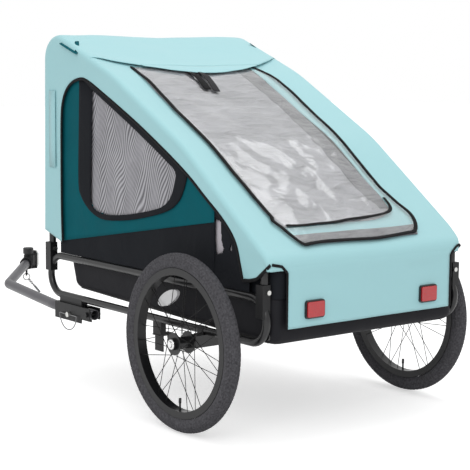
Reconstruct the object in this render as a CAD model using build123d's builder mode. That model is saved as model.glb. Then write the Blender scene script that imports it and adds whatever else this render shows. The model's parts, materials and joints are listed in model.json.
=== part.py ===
"""Child bicycle trailer: low tube chassis, two 20 inch wheels, fold-down side hoops,
fabric tub and cover, and a bent tow bar with a swivelling hitch.

Millimetres.  +X is the trailer's right, +Y is forward, +Z is up.  The origin lies on the
ground under the middle of the trailer's box, tow bar included.
"""
from build123d import *
from math import cos, degrees, pi, radians, sin, tan
import os

os.makedirs("parts", exist_ok=True)

SIDES = (("left", -1), ("right", 1))

# ---------------------------------------------------------------- driving dimensions
# Pairs such as (745, 278) are (ahead of the axle, height).

# wheels: 47-406 tyres on 20 inch rims
rim_seat_radius = 203
tyre_width = 47
tyre_wall = 4
track = 870                 # between the wheels' middle planes
rim_width = 30
rim_depth = 14
rim_wall = 2
rim_flange = 6
spoke_count = 28
spoke_diameter = 2
spoke_cross_angle = 58      # degrees between a spoke's hub end and its rim end
spoke_gap = 1.4             # half the gap that keeps crossing spokes apart
flange_radius = 31
flange_thickness = 3.5
flange_offset = 24          # flange planes, either side of the wheel's middle plane
hub_barrel_radius = 17
hub_outer_end = 35          # from the wheel's middle plane, away from the trailer
hub_inner_end = 31          # and towards it
hub_recess_radius = 11
hub_recess = 5
axle_diameter = 12
running_clearance = 0.05    # radial, between a shaft and its bore
button_radius = 8
button_stem_radius = 4
button_travel = 4
button_proud = 5

# chassis
tube_radius = 11            # rails, cross tubes and hoops
tube_wall = 1.5
rail_inset = 77             # rail centre planes, inboard of the wheels' middle planes
rail_high_z = 400
rail_nose = 806             # foremost place of the loops' middle line
rail_tail = -275            # rearmost place
rear_tube_dip = 40          # degrees below level, round the rear bend
beam_size = 34
beam_wall = 2.5
beam_gap = 6                # beam end to hub
stub_grip = 50              # length of axle stub held in the beam
clamp_width = 24
clamp_wall = 1.5
clamp_flange = 12

# side hoops: one bent tube a side, hinged at both feet
hoop_inset = 2              # inboard of the rails
hoop_foot_rise = 20         # hinges, above the upper rails
front_leg = 800
rear_leg = -262
hoop_stagger = 26           # the right hoop's front leg stands this much further back
hoop_knee = (-262, 497)
hoop_middle = (90, 772)
hoop_shoulder = (440, 963)
hoop_top_z = 1102           # where the slope and the front leg would meet
hoop_radii = (80, 700, 700, 60)
foot_below_pin = 8
pin_radius = 4
bracket_ear = 3
bracket_ear_gap = 1
bracket_web_gap = 4
bracket_low = 70            # below the hinge
bracket_high = 20           # above it
bolt_head_radius = 6.5
bolt_head_height = 5

# folding spreader between the hoops
link_width = 16
link_thickness = 8
link_ahead = 515
link_spacing = 20
link_drop = 27              # below the hoop's middle line
link_inset = 20             # inboard of the hoop
link_overlap = 15           # past the middle plane
lug_thickness = 4
elbow_gap = 2.5
link_joint_gap = 1

# fabric cover and flap
cloth = 3
cover_clearance = 4         # cover to hoop, sideways
cover_rear = -300
cover_rear_hem_z = 320
cover_crease_z = 488
cover_gap = 2.3             # cover to hoop, across the slope
cover_front_room = 22       # front leg's middle line to the cover's front
cover_front_hem = (832, 478)
cover_radii = (45, 700, 700, 75)
cover_roll = 14             # rounding over the side tubes
cover_rear_inset = 60
side_opening = ((716, 300), (716, 930), (600, 985), (381, 875), (89, 722), (-165, 548), (-186, 441),
                (-186, 300))
side_opening_radii = (50, 50, 200, 200, 60, 20)
side_notch = ((-186, 300), (-186, 441), (-245, 452), (-310, 497), (-310, 300))
window_inset = 113          # from the cover's sides
window_low = -240
window_high = 500
window_lap = 14             # the flap covers the hole's edge by this much
window_corner = 25
flap_lift = 1.5
flap_thickness = 2
flap_strap_places = (-64, -30)
flap_strap_run = (345, 490)
panel_inset = 10            # side panels stand this far inside the cover
panel_front = 745
panel_rear = -50
panel_low_z = 412
panel_drop = 28             # below the hoop's middle line
panel_corner = 40
mesh_window = ((548, 590), (548, 925), (150, 735), (118, 640), (150, 600))
mesh_corner = 25
mesh_lap = 8
mesh_gap = 0.4
mesh_thickness = 0.8

# tub and inside
tub_wall = 4
tub_rail_gap = 2
tub_floor_gap = 7           # above the axle beam, at the tub's rear
tub_floor_rise = 29         # from the rear to the front foot
tub_top_rise = 4            # above the upper rails
tub_front = 720
tub_front_foot = 692
tub_rear = -286
tub_corner = 26
floor_board = 6
seat_front = 430
seat_rear_gap = 4
seat_side_gap = 16
cushion_height = 38         # at its front edge
cushion_radius = 20
back_foot_ahead = 672
back_foot_rise = 14         # above the cushion
back_length = 520
back_thickness = 22
back_lean = 5.5             # degrees
back_side_gap = 7           # inside the cushion's edges
back_corner = 60
shoulder_strap_x = 62       # from the middle of the place
lap_strap_reach = 130
strap_top = 440             # up the seat back
strap_width = 25
strap_thickness = 2
buckle_ahead = 600
buckle_size = (42, 46, 11)
press_size = (16, 14, 4)
press_travel = 2.5

# tow bar and its bracket
bar_radius = 16
bar_wall = 2
bar_drop = 40               # below the lower rails
bar_pivot = 568
bar_tail = 16
bar_first_bend = 790
bar_corner = (-292, 1201, 245)
bar_end = (-73, 1443, 275)
bar_bend_radii = (160, 52)
bar_pivot_radius = 5
channel_wall = 3.5
channel_side_gap = 0.6
channel_web_gap = 0.4
channel_block = (612, 738)
channel_front = 753
channel_rear = 600
channel_depth = 32          # below the bar's middle line
ears_rear = 552
ears_depth = 16
pivot_head_radius = 8
pivot_head_height = 6
lock_ahead = 667
lock_drop = 12              # below the bar's middle line
lock_radius = 4
lock_bite = 3               # into the side of the bar, at the lock's height
lock_groove_slack = 0.3
lock_head_radius = 8
lock_head_height = 9
lock_travel = 12
lock_ring_radius = 48
wire_radius = 1.6
stored_tilt = 4             # degrees below level, when folded under the tub
clip_ahead = 210
clip_length = 40
clip_slack = 1.5
clip_depth = 27             # below the middle line of the stored bar
clip_wall = 3

# hitch
socket_radius = 19
socket_grip = 40
swivel_ahead = 12           # swivel axis beyond the end of the bar
post_radius = 17
post_height = 44
swivel_pin_radius = 5
tongue = 5
yoke_reach = 24
yoke_half_width = 15
yoke_height = 26
knob_radius = 19
knob_height = 22
play = 0.5                  # gaps between the hitch's moving faces
pitch_pin_up = 38
axle_hole_drop = 34
axle_hole_radius = 6.5
axle_plate = 6
axle_plate_radius = 14
hitch_strap_back = 22       # behind the end of the bar
hitch_strap_width = 30
hitch_strap_band = 24
hitch_strap_drop = 24
strap_cloth = 2.5
strap_ring_radius = 12
link_loop_radius = 4
link_wire_radius = 1.1
link_pitch = 5.3
chain_links = 5
chain_slope = 49            # degrees below level
link_gap = 1.3
hitch_pin_radius = 4
hitch_pin_length = 30

# reflectors
reflector_x = 216
reflector_z = 367
reflector_size = (68, 50)
reflector_corner = 9
reflector_bezel = 8
reflector_lens = 4
reflector_rim = 4
spoke_reflector_size = (100, 36, 9)
spoke_reflector_inset = 71  # inside the rim's seat
spoke_reflector_angle = 26  # degrees ahead of straight up

# ---------------------------------------------------------------- places worked out
bar_end_at = Vector(*bar_end)
bar_way = (bar_end_at - Vector(*bar_corner)).normalized()
swivel_at = bar_end_at + bar_way * swivel_ahead
rear_reach = reflector_bezel + reflector_lens - cover_rear
front_reach = swivel_at.Y + knob_radius
axle_y = (rear_reach - front_reach) / 2

wheel_radius = rim_seat_radius + tyre_width
spoke_reflector_radius = rim_seat_radius - spoke_reflector_inset
beam_half = track / 2 - hub_inner_end - beam_gap
beam_top_z = wheel_radius + beam_size / 2
rail_x = track / 2 - rail_inset
rail_low_z = beam_top_z + tube_radius
hoop_x = rail_x - hoop_inset
hoop_foot_z = rail_high_z + hoop_foot_rise
cover_x = hoop_x + tube_radius + cover_clearance
cover_rear_half_width = cover_x - cover_rear_inset
window_half_width = cover_x - window_inset
tub_half_width = rail_x - tube_radius - tub_rail_gap
tub_top_z = rail_high_z + tub_top_rise
tub_floor_z = beam_top_z + tub_floor_gap
tub_floor_tilt = tub_floor_rise / (tub_front_foot - tub_rear)
seat_half_width = tub_half_width - tub_wall - seat_side_gap
back_half_width = seat_half_width - back_side_gap
place_x = seat_half_width / 2           # middle of each child's place
floor_square = (1 + tub_floor_tilt ** 2) ** 0.5
cushion_front = tub_front_foot - tub_wall - seat_rear_gap - tub_corner / 2
cushion_low = (tub_floor_z + tub_floor_tilt * (cushion_front - tub_rear)
               + (tub_wall + floor_board) * floor_square)
cushion_top = cushion_low + cushion_height
back_foot = (back_foot_ahead, cushion_top + back_foot_rise)
rail_mid_z = (rail_low_z + rail_high_z) / 2
rail_bend = (rail_high_z - rail_low_z) / 2
rail_front = rail_nose - rail_bend
rail_rear = rail_tail + rail_bend
bend_angle = radians(rear_tube_dip)
rear_tube = (rail_rear - rail_bend * cos(bend_angle), rail_mid_z - rail_bend * sin(bend_angle))
cross_tube_places = ((rail_front - tube_radius, rail_high_z), rear_tube)
hoop_slope = (hoop_top_z - hoop_shoulder[1]) / (front_leg - hoop_shoulder[0])


def lifted(points, lift):
    """A run of side-view points moved outwards, to the left of travel, with mitred bends."""
    moved = []
    for index, point in enumerate(points):
        here = Vector(*point)
        before = (here - Vector(*points[max(index - 1, 0)])) if index else Vector(*points[1]) - here
        after = (Vector(*points[index + 1]) - here) if index < len(points) - 1 else before
        normals = [Vector(-way.Y, way.X).normalized() for way in (before, after)]
        mitre = (normals[0] + normals[1]).normalized()
        move = here + mitre * (lift / mitre.dot(normals[0]))
        moved.append((move.X, move.Y))
    return moved


cover_lift = tube_radius + cover_gap + cloth
over_hoop = lifted((hoop_knee, hoop_middle, hoop_shoulder, (front_leg, hoop_top_z)), cover_lift)
cover_middle, cover_shoulder = over_hoop[1:3]
cover_nose = front_leg + cover_front_room
cover_front = (cover_nose, cover_shoulder[1] + hoop_slope * (cover_nose - cover_shoulder[0]))

bar_x = -rail_x
bar_z = rail_low_z - bar_drop
channel_low_z = bar_z - channel_depth
ears_low_z = bar_z - ears_depth
lock_z = bar_z - lock_drop
stored = radians(stored_tilt)
stored_reach = (bar_pivot - clip_ahead) / cos(stored)
bar_run = bar_corner[1] - bar_first_bend
bar_share = (bar_pivot + stored_reach - bar_first_bend) / bar_run
bar_slant = (bar_corner[0] - bar_x) / bar_run
bar_rise = (bar_corner[2] - bar_z) / bar_run
clip_x = bar_x + (bar_corner[0] - bar_x) * bar_share
clip_bar_z = bar_z - stored_reach * sin(stored) - (bar_corner[2] - bar_z) * bar_share * cos(stored)
clip_half_width = bar_radius + abs(bar_slant) * clip_length / 2 + clip_slack + clip_wall
clip_roof_z = clip_bar_z + bar_radius + (tan(stored) + abs(bar_rise)) * clip_length / 2 + clip_slack
clip_low_z = clip_bar_z - clip_depth


def at(ahead, height):
    """Point of an upright side plane, from its place ahead of the axle and its height."""
    return (axle_y + ahead, height)


def side_plane(x):
    """Upright plane facing +X, whose own x is +Y and whose own y is +Z."""
    return Plane(origin=(x, 0, 0), x_dir=(0, 1, 0), z_dir=(1, 0, 0))


def end_plane(x, ahead, z):
    """Upright plane facing forward, whose own x is -X and whose own y is +Z."""
    return Plane(origin=(x, axle_y + ahead, z), x_dir=(-1, 0, 0), z_dir=(0, 1, 0))


def save(part, name):
    """Label a finished piece and write its STEP file."""
    part.label = name
    export_step(part, f"parts/{name}.step")


def front_leg_of(side):
    """The right hoop's front leg is staggered, so that the hoops fold past each other."""
    return front_leg - (hoop_stagger if side == "right" else 0)


# ---------------------------------------------------------------- base loops
rail_solids = {}
for side, sign in SIDES:
    with BuildLine(side_plane(sign * rail_x)) as rail_path:
        low = Line(at(rail_rear, rail_low_z), at(rail_front, rail_low_z))
        RadiusArc(low @ 1, at(rail_front, rail_high_z), -rail_bend)
        high = Line(at(rail_front, rail_high_z), at(rail_rear, rail_high_z))
        RadiusArc(high @ 1, low @ 0, -rail_bend)
    rail_start = end_plane(sign * rail_x, rail_rear, rail_low_z)
    with BuildPart() as rail_solid:
        with BuildSketch(rail_start):
            Circle(tube_radius)
        sweep(path=rail_path.wires()[0])
    rail_solids[side] = rail_solid.part
    with BuildPart() as base_loop:
        with BuildSketch(rail_start):
            Circle(tube_radius)
            Circle(tube_radius - tube_wall, mode=Mode.SUBTRACT)
        sweep(path=rail_path.wires()[0])
    save(base_loop.part, f"{side}_base_loop")

with BuildPart() as cross_tubes:
    with BuildSketch(side_plane(tube_radius - rail_x)):
        with Locations(*[at(*place) for place in cross_tube_places]):
            Circle(tube_radius)
            Circle(tube_radius - tube_wall, mode=Mode.SUBTRACT)
    extrude(amount=2 * (rail_x - tube_radius))
save(cross_tubes.part, "cross_tubes")


# ---------------------------------------------------------------- axle
with BuildPart() as axle_beam:
    with BuildSketch(side_plane(-beam_half)):
        with Locations(at(0, wheel_radius)):
            Rectangle(beam_size, beam_size)
            Rectangle(beam_size - 2 * beam_wall, beam_size - 2 * beam_wall, mode=Mode.SUBTRACT)
    extrude(amount=2 * beam_half)
    for side, sign in SIDES:
        with BuildSketch(side_plane(sign * beam_half)):
            with Locations(at(0, wheel_radius)):
                Rectangle(beam_size - beam_wall, beam_size - beam_wall)
                Circle(axle_diameter / 2 + running_clearance, mode=Mode.SUBTRACT)
        extrude(amount=-sign * stub_grip)
save(axle_beam.part, "axle_beam")

saddle = tube_radius + clamp_wall
with BuildPart() as axle_clamps:
    for side, sign in SIDES:
        with BuildSketch(end_plane(sign * rail_x, -clamp_width / 2, rail_low_z)):
            Circle(saddle)
            with Locations((0, -tube_radius / 2)):
                Rectangle(2 * saddle, tube_radius)
            with Locations((0, clamp_wall - tube_radius)):
                Rectangle(2 * (saddle + clamp_flange), 2 * clamp_wall)
            Circle(tube_radius, mode=Mode.SUBTRACT)
            with Locations((0, -tube_radius - saddle)):
                Rectangle(4 * saddle, 2 * saddle, mode=Mode.SUBTRACT)
            with Locations((0, -tube_radius)):
                Rectangle(1.4 * tube_radius, tube_radius, mode=Mode.SUBTRACT)
        extrude(amount=clamp_width)
save(axle_clamps.part, "axle_clamps")

with BuildPart() as axle_stubs:
    for side, sign in SIDES:
        stub_end = track / 2 + hub_outer_end - hub_recess
        with BuildSketch(side_plane(sign * (beam_half - stub_grip))):
            with Locations(at(0, wheel_radius)):
                Circle(axle_diameter / 2)
        extrude(amount=sign * (stub_end - beam_half + stub_grip))
        with BuildSketch(side_plane(sign * stub_end)):
            with Locations(at(0, wheel_radius)):
                Circle(button_stem_radius + running_clearance)
        extrude(amount=-sign * 4 * button_travel, mode=Mode.SUBTRACT)
save(axle_stubs.part, "axle_stubs")


# ---------------------------------------------------------------- wheels
def wheel_plane(sign):
    """Plane through a wheel's middle: own x runs outwards along the axle, own y is up."""
    return Plane(origin=(sign * track / 2, axle_y, wheel_radius), x_dir=(sign, 0, 0), z_dir=(0, -sign, 0))


tyre_mid = wheel_radius - tyre_width / 2
for side, sign in SIDES:
    middle = wheel_plane(sign)
    spin = Axis(middle.origin, (1, 0, 0))

    with BuildPart() as rim:
        with BuildSketch(middle):
            with Locations((0, rim_seat_radius - rim_depth / 2)):
                Rectangle(rim_width, rim_depth)
                Rectangle(rim_width - 2 * rim_wall, rim_depth - 2 * rim_wall, mode=Mode.SUBTRACT)
            with Locations((-(rim_width - rim_wall) / 2, rim_seat_radius + rim_flange / 2),
                           ((rim_width - rim_wall) / 2, rim_seat_radius + rim_flange / 2)):
                Rectangle(rim_wall, rim_flange)
        revolve(axis=spin)
    save(rim.part, f"{side}_rim")

    with BuildPart() as tyre:
        with BuildSketch(middle):
            with Locations((0, tyre_mid)):
                Circle(tyre_width / 2)
                Circle(tyre_width / 2 - tyre_wall, mode=Mode.SUBTRACT)
            with Locations((0, rim_seat_radius)):
                Rectangle(tyre_width, 2 * rim_flange, mode=Mode.SUBTRACT)
            bead_x = rim_width / 2 - rim_wall - tyre_wall / 2
            with Locations((-bead_x, rim_seat_radius + rim_flange / 2),
                           (bead_x, rim_seat_radius + rim_flange / 2)):
                Rectangle(tyre_wall, rim_flange)
        revolve(axis=spin)
    save(tyre.part, f"{side}_tyre")

    with BuildPart() as hub:
        with BuildSketch(middle):
            with Locations(((hub_outer_end - hub_inner_end) / 2, hub_barrel_radius / 2)):
                Rectangle(hub_outer_end + hub_inner_end, hub_barrel_radius)
            with Locations((-flange_offset, flange_radius / 2), (flange_offset, flange_radius / 2)):
                Rectangle(flange_thickness, flange_radius)
            with Locations((0, axle_diameter / 4)):
                Rectangle(3 * hub_outer_end, axle_diameter / 2 + 2 * running_clearance, mode=Mode.SUBTRACT)
            with Locations((hub_outer_end - hub_recess / 2, hub_recess_radius / 2)):
                Rectangle(hub_recess, hub_recess_radius, mode=Mode.SUBTRACT)
        revolve(axis=spin)
    save(hub.part, f"{side}_hub")

    rim_end_radius = rim_seat_radius - rim_depth - 0.4
    hub_end_radius = flange_radius + spoke_diameter / 2 + 0.2
    with BuildPart() as spokes:
        for number in range(spoke_count):
            outwards = 1 if number % 2 else -1
            leaning = 1 if (number // 2) % 2 else -1
            hub_turn = radians(number * 360 / spoke_count)
            rim_turn = hub_turn + leaning * radians(spoke_cross_angle)
            hub_x = outwards * flange_offset - leaning * spoke_gap
            rim_x = outwards * 2.5 * spoke_diameter - leaning * spoke_gap
            start = middle.from_local_coords(Vector(hub_x, hub_end_radius * cos(hub_turn),
                                                    hub_end_radius * sin(hub_turn)))
            finish = middle.from_local_coords(Vector(rim_x, rim_end_radius * cos(rim_turn),
                                                     rim_end_radius * sin(rim_turn)))
            with BuildSketch(Plane(origin=start, z_dir=finish - start)):
                Circle(spoke_diameter / 2)
            extrude(amount=(finish - start).length)
    save(spokes.part, f"{side}_spokes")

    turn = radians(spoke_reflector_angle)
    reflector_way = Vector(0, sin(turn), cos(turn))
    reflector_at = middle.origin + reflector_way * spoke_reflector_radius
    length, height, depth = spoke_reflector_size
    with BuildPart() as spoke_reflector:
        with BuildSketch(Plane(origin=reflector_at - Vector(depth / 2, 0, 0),
                               x_dir=Vector(0, cos(turn), -sin(turn)), z_dir=(1, 0, 0))):
            Ellipse(length / 2, height / 2)
        extrude(amount=depth)
    save(spoke_reflector.part, f"{side}_spoke_reflector")

    stub_face = track / 2 + hub_outer_end - hub_recess
    with BuildPart() as release_button:
        with BuildSketch(side_plane(sign * (stub_face - 2 * button_travel))):
            with Locations(at(0, wheel_radius)):
                Circle(button_stem_radius)
        extrude(amount=sign * (3 * button_travel + 1))
        with BuildSketch(side_plane(sign * (stub_face + button_travel + 0.5))):
            with Locations(at(0, wheel_radius)):
                Circle(button_radius)
        extrude(amount=sign * (hub_recess + button_proud - button_travel - 0.5))
    save(release_button.part, f"{side}_release_button")


# ---------------------------------------------------------------- hoops and spreader
def hoop_height(ahead):
    """Height of the hoop's middle line on its front slope."""
    return hoop_shoulder[1] + hoop_slope * (ahead - hoop_shoulder[0])


link_places = {"left": link_ahead, "right": link_ahead + link_spacing}
link_z = hoop_height(link_ahead + link_spacing / 2) - link_drop
link_pivot_x = hoop_x - link_inset
for side, sign in SIDES:
    front = front_leg_of(side)
    foot_z = hoop_foot_z - foot_below_pin
    corner = (front, hoop_height(front))
    path = ((rear_leg, foot_z), hoop_knee, hoop_middle, hoop_shoulder, corner, (front, foot_z))
    away = 1 if side == "right" else -1         # the lug stands on the side away from the other link
    lug_ahead = link_places[side] + away * (link_thickness / 2 + link_joint_gap)
    lug_rise = hoop_height(lug_ahead) - link_z
    with BuildPart() as hoop:
        with BuildLine(side_plane(sign * hoop_x)) as hoop_path:
            FilletPolyline(*[at(*place) for place in path], radius=hoop_radii)
        with BuildSketch(Plane.XY.offset(foot_z)):
            with Locations((sign * hoop_x, axle_y + rear_leg)):
                Circle(tube_radius)
                Circle(tube_radius - tube_wall, mode=Mode.SUBTRACT)
        sweep(path=hoop_path.wires()[0])
        for foot in (rear_leg, front):
            with BuildSketch(end_plane(sign * hoop_x, foot - 2 * tube_radius, hoop_foot_z)):
                Circle(pin_radius + running_clearance)
            extrude(amount=4 * tube_radius, mode=Mode.SUBTRACT)
        with BuildSketch(end_plane(sign * link_pivot_x, lug_ahead, link_z)):
            Circle(link_width / 2)
            with Locations((-sign * link_inset, lug_rise)):
                Circle(link_width / 2)
            make_hull()
        extrude(amount=away * lug_thickness)
        with BuildSketch(end_plane(sign * link_pivot_x, lug_ahead, link_z)):
            Circle(pin_radius)
        extrude(amount=-away * (link_thickness + 2 * link_joint_gap))
    save(hoop.part, f"{side}_hoop")

for side, sign in SIDES:
    reach = link_pivot_x + link_overlap
    with BuildPart() as link:
        with BuildSketch(end_plane(sign * (link_pivot_x - reach / 2),
                                   link_places[side] - link_thickness / 2, link_z)):
            SlotOverall(reach + link_width, link_width)
            with Locations((-sign * reach / 2, 0)):
                Circle(pin_radius + running_clearance, mode=Mode.SUBTRACT)
            if side == "right":
                with Locations((sign * (reach / 2 - link_overlap), 0)):
                    Circle(pin_radius + running_clearance, mode=Mode.SUBTRACT)
        extrude(amount=link_thickness)
    save(link.part, f"{side}_spreader_link")

elbow_start = link_places["left"] + link_thickness / 2
elbow_length = link_spacing - link_thickness - elbow_gap
with BuildPart() as elbow_pin:
    with BuildSketch(end_plane(0, elbow_start, link_z)):
        Circle(pin_radius)
    extrude(amount=elbow_length)
save(elbow_pin.part, "elbow_pin")

# ---------------------------------------------------------------- hinges of the hoops
ear_in = tube_radius + bracket_ear_gap
ear_out = ear_in + bracket_ear
with BuildPart() as hinge_brackets:
    for side, sign in SIDES:
        for foot in (rear_leg, front_leg_of(side)):
            inner_x = hoop_x - tube_radius + bracket_ear
            web_x = hoop_x + tube_radius + bracket_web_gap
            middle_x = (inner_x + web_x + bracket_ear) / 2
            height = bracket_low + bracket_high
            middle_z = hoop_foot_z + (bracket_high - bracket_low) / 2
            with BuildPart(mode=Mode.PRIVATE) as bracket:
                with BuildSketch(end_plane(sign * middle_x, foot - ear_out, middle_z)):
                    Rectangle(web_x + bracket_ear - inner_x, height)
                extrude(amount=2 * ear_out)
                with BuildSketch(end_plane(sign * (middle_x - bracket_ear), foot - ear_in, middle_z)):
                    Rectangle(web_x + bracket_ear - inner_x, height)
                extrude(amount=2 * ear_in, mode=Mode.SUBTRACT)
                with BuildSketch(end_plane(sign * hoop_x, foot - 2 * ear_out, hoop_foot_z)):
                    Circle(pin_radius + running_clearance)
                extrude(amount=4 * ear_out, mode=Mode.SUBTRACT)
                add(rail_solids[side], mode=Mode.SUBTRACT)
            add(bracket.part)
save(hinge_brackets.part, "hinge_brackets")

with BuildPart() as hinge_bolts:
    for side, sign in SIDES:
        for foot in (rear_leg, front_leg_of(side)):
            with BuildSketch(end_plane(sign * hoop_x, foot - ear_out, hoop_foot_z)):
                Circle(pin_radius)
            extrude(amount=2 * ear_out)
            with BuildSketch(end_plane(sign * hoop_x, foot - ear_out - bolt_head_height, hoop_foot_z)):
                Circle(bolt_head_radius)
            extrude(amount=bolt_head_height)
            with BuildSketch(end_plane(sign * hoop_x, foot + ear_out, hoop_foot_z)):
                RegularPolygon(bolt_head_radius, 6)
            extrude(amount=bolt_head_height)
save(hinge_bolts.part, "hinge_bolts")


# ---------------------------------------------------------------- fabric cover
cover_run = ((cover_rear, cover_rear_hem_z), (cover_rear, cover_crease_z), cover_middle, cover_shoulder,
             cover_front,
             cover_front_hem)
below_hem = 60
longer_run = ((cover_rear, cover_rear_hem_z - below_hem), *cover_run[1:-1],
              (cover_front_hem[0] + 1, cover_front_hem[1] - below_hem))
inner_radii = [radius - cloth for radius in cover_radii]
with BuildPart() as canopy_cover:
    with BuildSketch(side_plane(-cover_x)):
        with BuildLine():
            arch = FilletPolyline(*[at(*place) for place in cover_run], radius=cover_radii)
            Line(arch @ 1, arch @ 0)
        make_face()
    extrude(amount=2 * cover_x)
    ends = canopy_cover.faces().filter_by(Axis.X).edges()
    hem = canopy_cover.faces().sort_by(Axis.Z)[0].edges()
    fillet([edge for edge in ends if edge not in hem], radius=cover_roll)
    with BuildPart(mode=Mode.PRIVATE) as inside:
        with BuildSketch(side_plane(cloth - cover_x)):
            with BuildLine():
                arch = FilletPolyline(*[at(*place) for place in lifted(longer_run, -cloth)],
                                      radius=inner_radii)
                Line(arch @ 1, arch @ 0)
            make_face()
        extrude(amount=2 * (cover_x - cloth))
        ends = inside.faces().filter_by(Axis.X).edges()
        hem = inside.faces().sort_by(Axis.Z)[0].edges()
        fillet([edge for edge in ends if edge not in hem], radius=cover_roll - cloth)
    add(inside.part, mode=Mode.SUBTRACT)
    for side, sign in SIDES:
        with BuildSketch(side_plane(sign * (cover_x - cover_roll))):
            with BuildLine():
                edge = FilletPolyline(*[at(*place) for place in side_opening], radius=side_opening_radii)
                Line(edge @ 1, edge @ 0)
            make_face()
        extrude(amount=sign * 2 * cover_roll, mode=Mode.SUBTRACT)
        with BuildSketch(side_plane(sign * cover_rear_half_width)):
            with BuildLine():
                Polyline(*[at(*place) for place in side_notch], close=True)
            make_face()
        extrude(amount=sign * 2 * (cover_x - cover_rear_half_width), mode=Mode.SUBTRACT)
    with BuildSketch(Plane.XY.offset(cover_crease_z - below_hem)):
        with Locations((0, axle_y + (window_low + window_high) / 2)):
            RectangleRounded(2 * (window_half_width - window_lap), window_high - window_low - 2 * window_lap,
                             window_corner)
    extrude(amount=2 * cover_front[1], mode=Mode.SUBTRACT)
save(canopy_cover.part, "canopy_cover")


def cover_layer(lift, thickness):
    """Section of a layer that lies over the cover's slope, from its rear crease to its front corner."""
    slope = cover_run[1:-1]
    upper = [at(*place) for place in lifted(slope, lift + thickness)]
    lower = [at(*place) for place in lifted(slope, lift)]
    bend = cover_radii[1] + lift
    with BuildSketch(side_plane(0)) as section:
        with BuildLine():
            top = FilletPolyline(*upper, radius=(bend + thickness, bend + thickness))
            under = FilletPolyline(*lower, radius=(bend, bend))
            Line(top @ 0, under @ 0)
            Line(top @ 1, under @ 1)
        make_face()
    return section.sketch


with BuildPart() as window_flap:
    extrude(cover_layer(flap_lift, flap_thickness), amount=window_half_width, both=True)
    with BuildSketch(Plane.XY):
        with Locations((0, axle_y + (window_low + window_high) / 2)):
            RectangleRounded(2 * window_half_width, window_high - window_low, window_corner)
    extrude(amount=2 * cover_front[1], mode=Mode.INTERSECT)
save(window_flap.part, "window_flap")

strap_lift = flap_lift + flap_thickness + 0.3
strap_low, strap_high = flap_strap_run
with BuildPart() as roll_up_straps:
    extrude(cover_layer(strap_lift, strap_thickness), amount=window_half_width, both=True)
    with BuildSketch(Plane.XY):
        with Locations(*[(x, axle_y + (strap_low + strap_high) / 2) for x in flap_strap_places]):
            Rectangle(strap_width, strap_high - strap_low)
    extrude(amount=2 * cover_front[1], mode=Mode.INTERSECT)
save(roll_up_straps.part, "roll_up_straps")

# ---------------------------------------------------------------- side panels
panel_x = cover_x - panel_inset
for side, sign in SIDES:
    front_z = hoop_height(panel_front) - panel_drop - panel_corner
    corner_z = hoop_height(panel_front - panel_corner) - panel_drop
    first_slope = (hoop_middle[1] - hoop_knee[1]) / (hoop_middle[0] - hoop_knee[0])
    rear_z = hoop_knee[1] + first_slope * (panel_rear - hoop_knee[0]) - panel_drop
    outline = ((panel_rear, panel_low_z), (panel_rear, rear_z), (hoop_middle[0], hoop_middle[1] - panel_drop),
               (hoop_shoulder[0], hoop_shoulder[1] - panel_drop), (panel_front - panel_corner, corner_z),
               (panel_front, front_z), (panel_front, panel_low_z))
    with BuildPart() as side_panel:
        with BuildSketch(side_plane(sign * (panel_x + cloth / 2))):
            with BuildLine():
                Polyline(*[at(*place) for place in outline], close=True)
            make_face()
        extrude(amount=-sign * cloth)
        with BuildSketch(side_plane(sign * (panel_x + cloth))) as window:
            with BuildLine():
                Polyline(*[at(*place) for place in mesh_window], close=True)
            make_face()
            fillet(window.vertices(), radius=mesh_corner)
        extrude(amount=-sign * 2 * cloth, mode=Mode.SUBTRACT)
    save(side_panel.part, f"{side}_side_panel")
    with BuildPart() as window_mesh:
        with BuildSketch(side_plane(sign * (panel_x - cloth / 2 - mesh_gap))):
            add(window.sketch_local)
            offset(amount=mesh_lap)
        extrude(amount=-sign * mesh_thickness)
    save(window_mesh.part, f"{side}_window_mesh")

# ---------------------------------------------------------------- tub, floor and seat
tub_outline = ((tub_rear, tub_top_z), (tub_rear, tub_floor_z), (tub_front_foot, tub_floor_z + tub_floor_rise),
               (tub_front, tub_top_z))
with BuildPart() as tub:
    with BuildSketch(side_plane(-tub_half_width)) as tub_side:
        with BuildLine():
            edge = FilletPolyline(*[at(*place) for place in tub_outline], radius=tub_corner)
            Line(edge @ 1, edge @ 0)
        make_face()
    extrude(amount=2 * tub_half_width)
    offset(amount=-tub_wall, openings=tub.faces().sort_by(Axis.Z)[-1])
    for side, sign in SIDES:
        with BuildSketch(side_plane(sign * (tub_half_width - 2 * tub_wall))):
            with Locations(at(*rear_tube)):
                Circle(tube_radius + tub_rail_gap / 2)
        extrude(amount=sign * 4 * tub_wall, mode=Mode.SUBTRACT)
save(tub.part, "tub")


def floor_height(ahead, thickness):
    """Height of the sloping floor's upper face, with this much built up on the tub's outside."""
    return tub_floor_z + tub_floor_tilt * (ahead - tub_rear) + thickness * floor_square


board_gap = 2 * tub_rail_gap
board_half_width = tub_half_width - tub_wall - board_gap
board_rear = tub_rear + tub_wall + tub_corner
board_front = tub_front_foot - tub_wall - tub_corner
board_top = tub_wall + floor_board
board_outline = ((board_rear, floor_height(board_rear, tub_wall)),
                 (board_front, floor_height(board_front, tub_wall)),
                 (board_front, floor_height(board_front, board_top)),
                 (board_rear, floor_height(board_rear, board_top)))
with BuildPart() as floor_panel:
    with BuildSketch(side_plane(-board_half_width)):
        with BuildLine():
            Polyline(*[at(*place) for place in board_outline], close=True)
        make_face()
    extrude(amount=2 * board_half_width)
save(floor_panel.part, "floor_panel")

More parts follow.
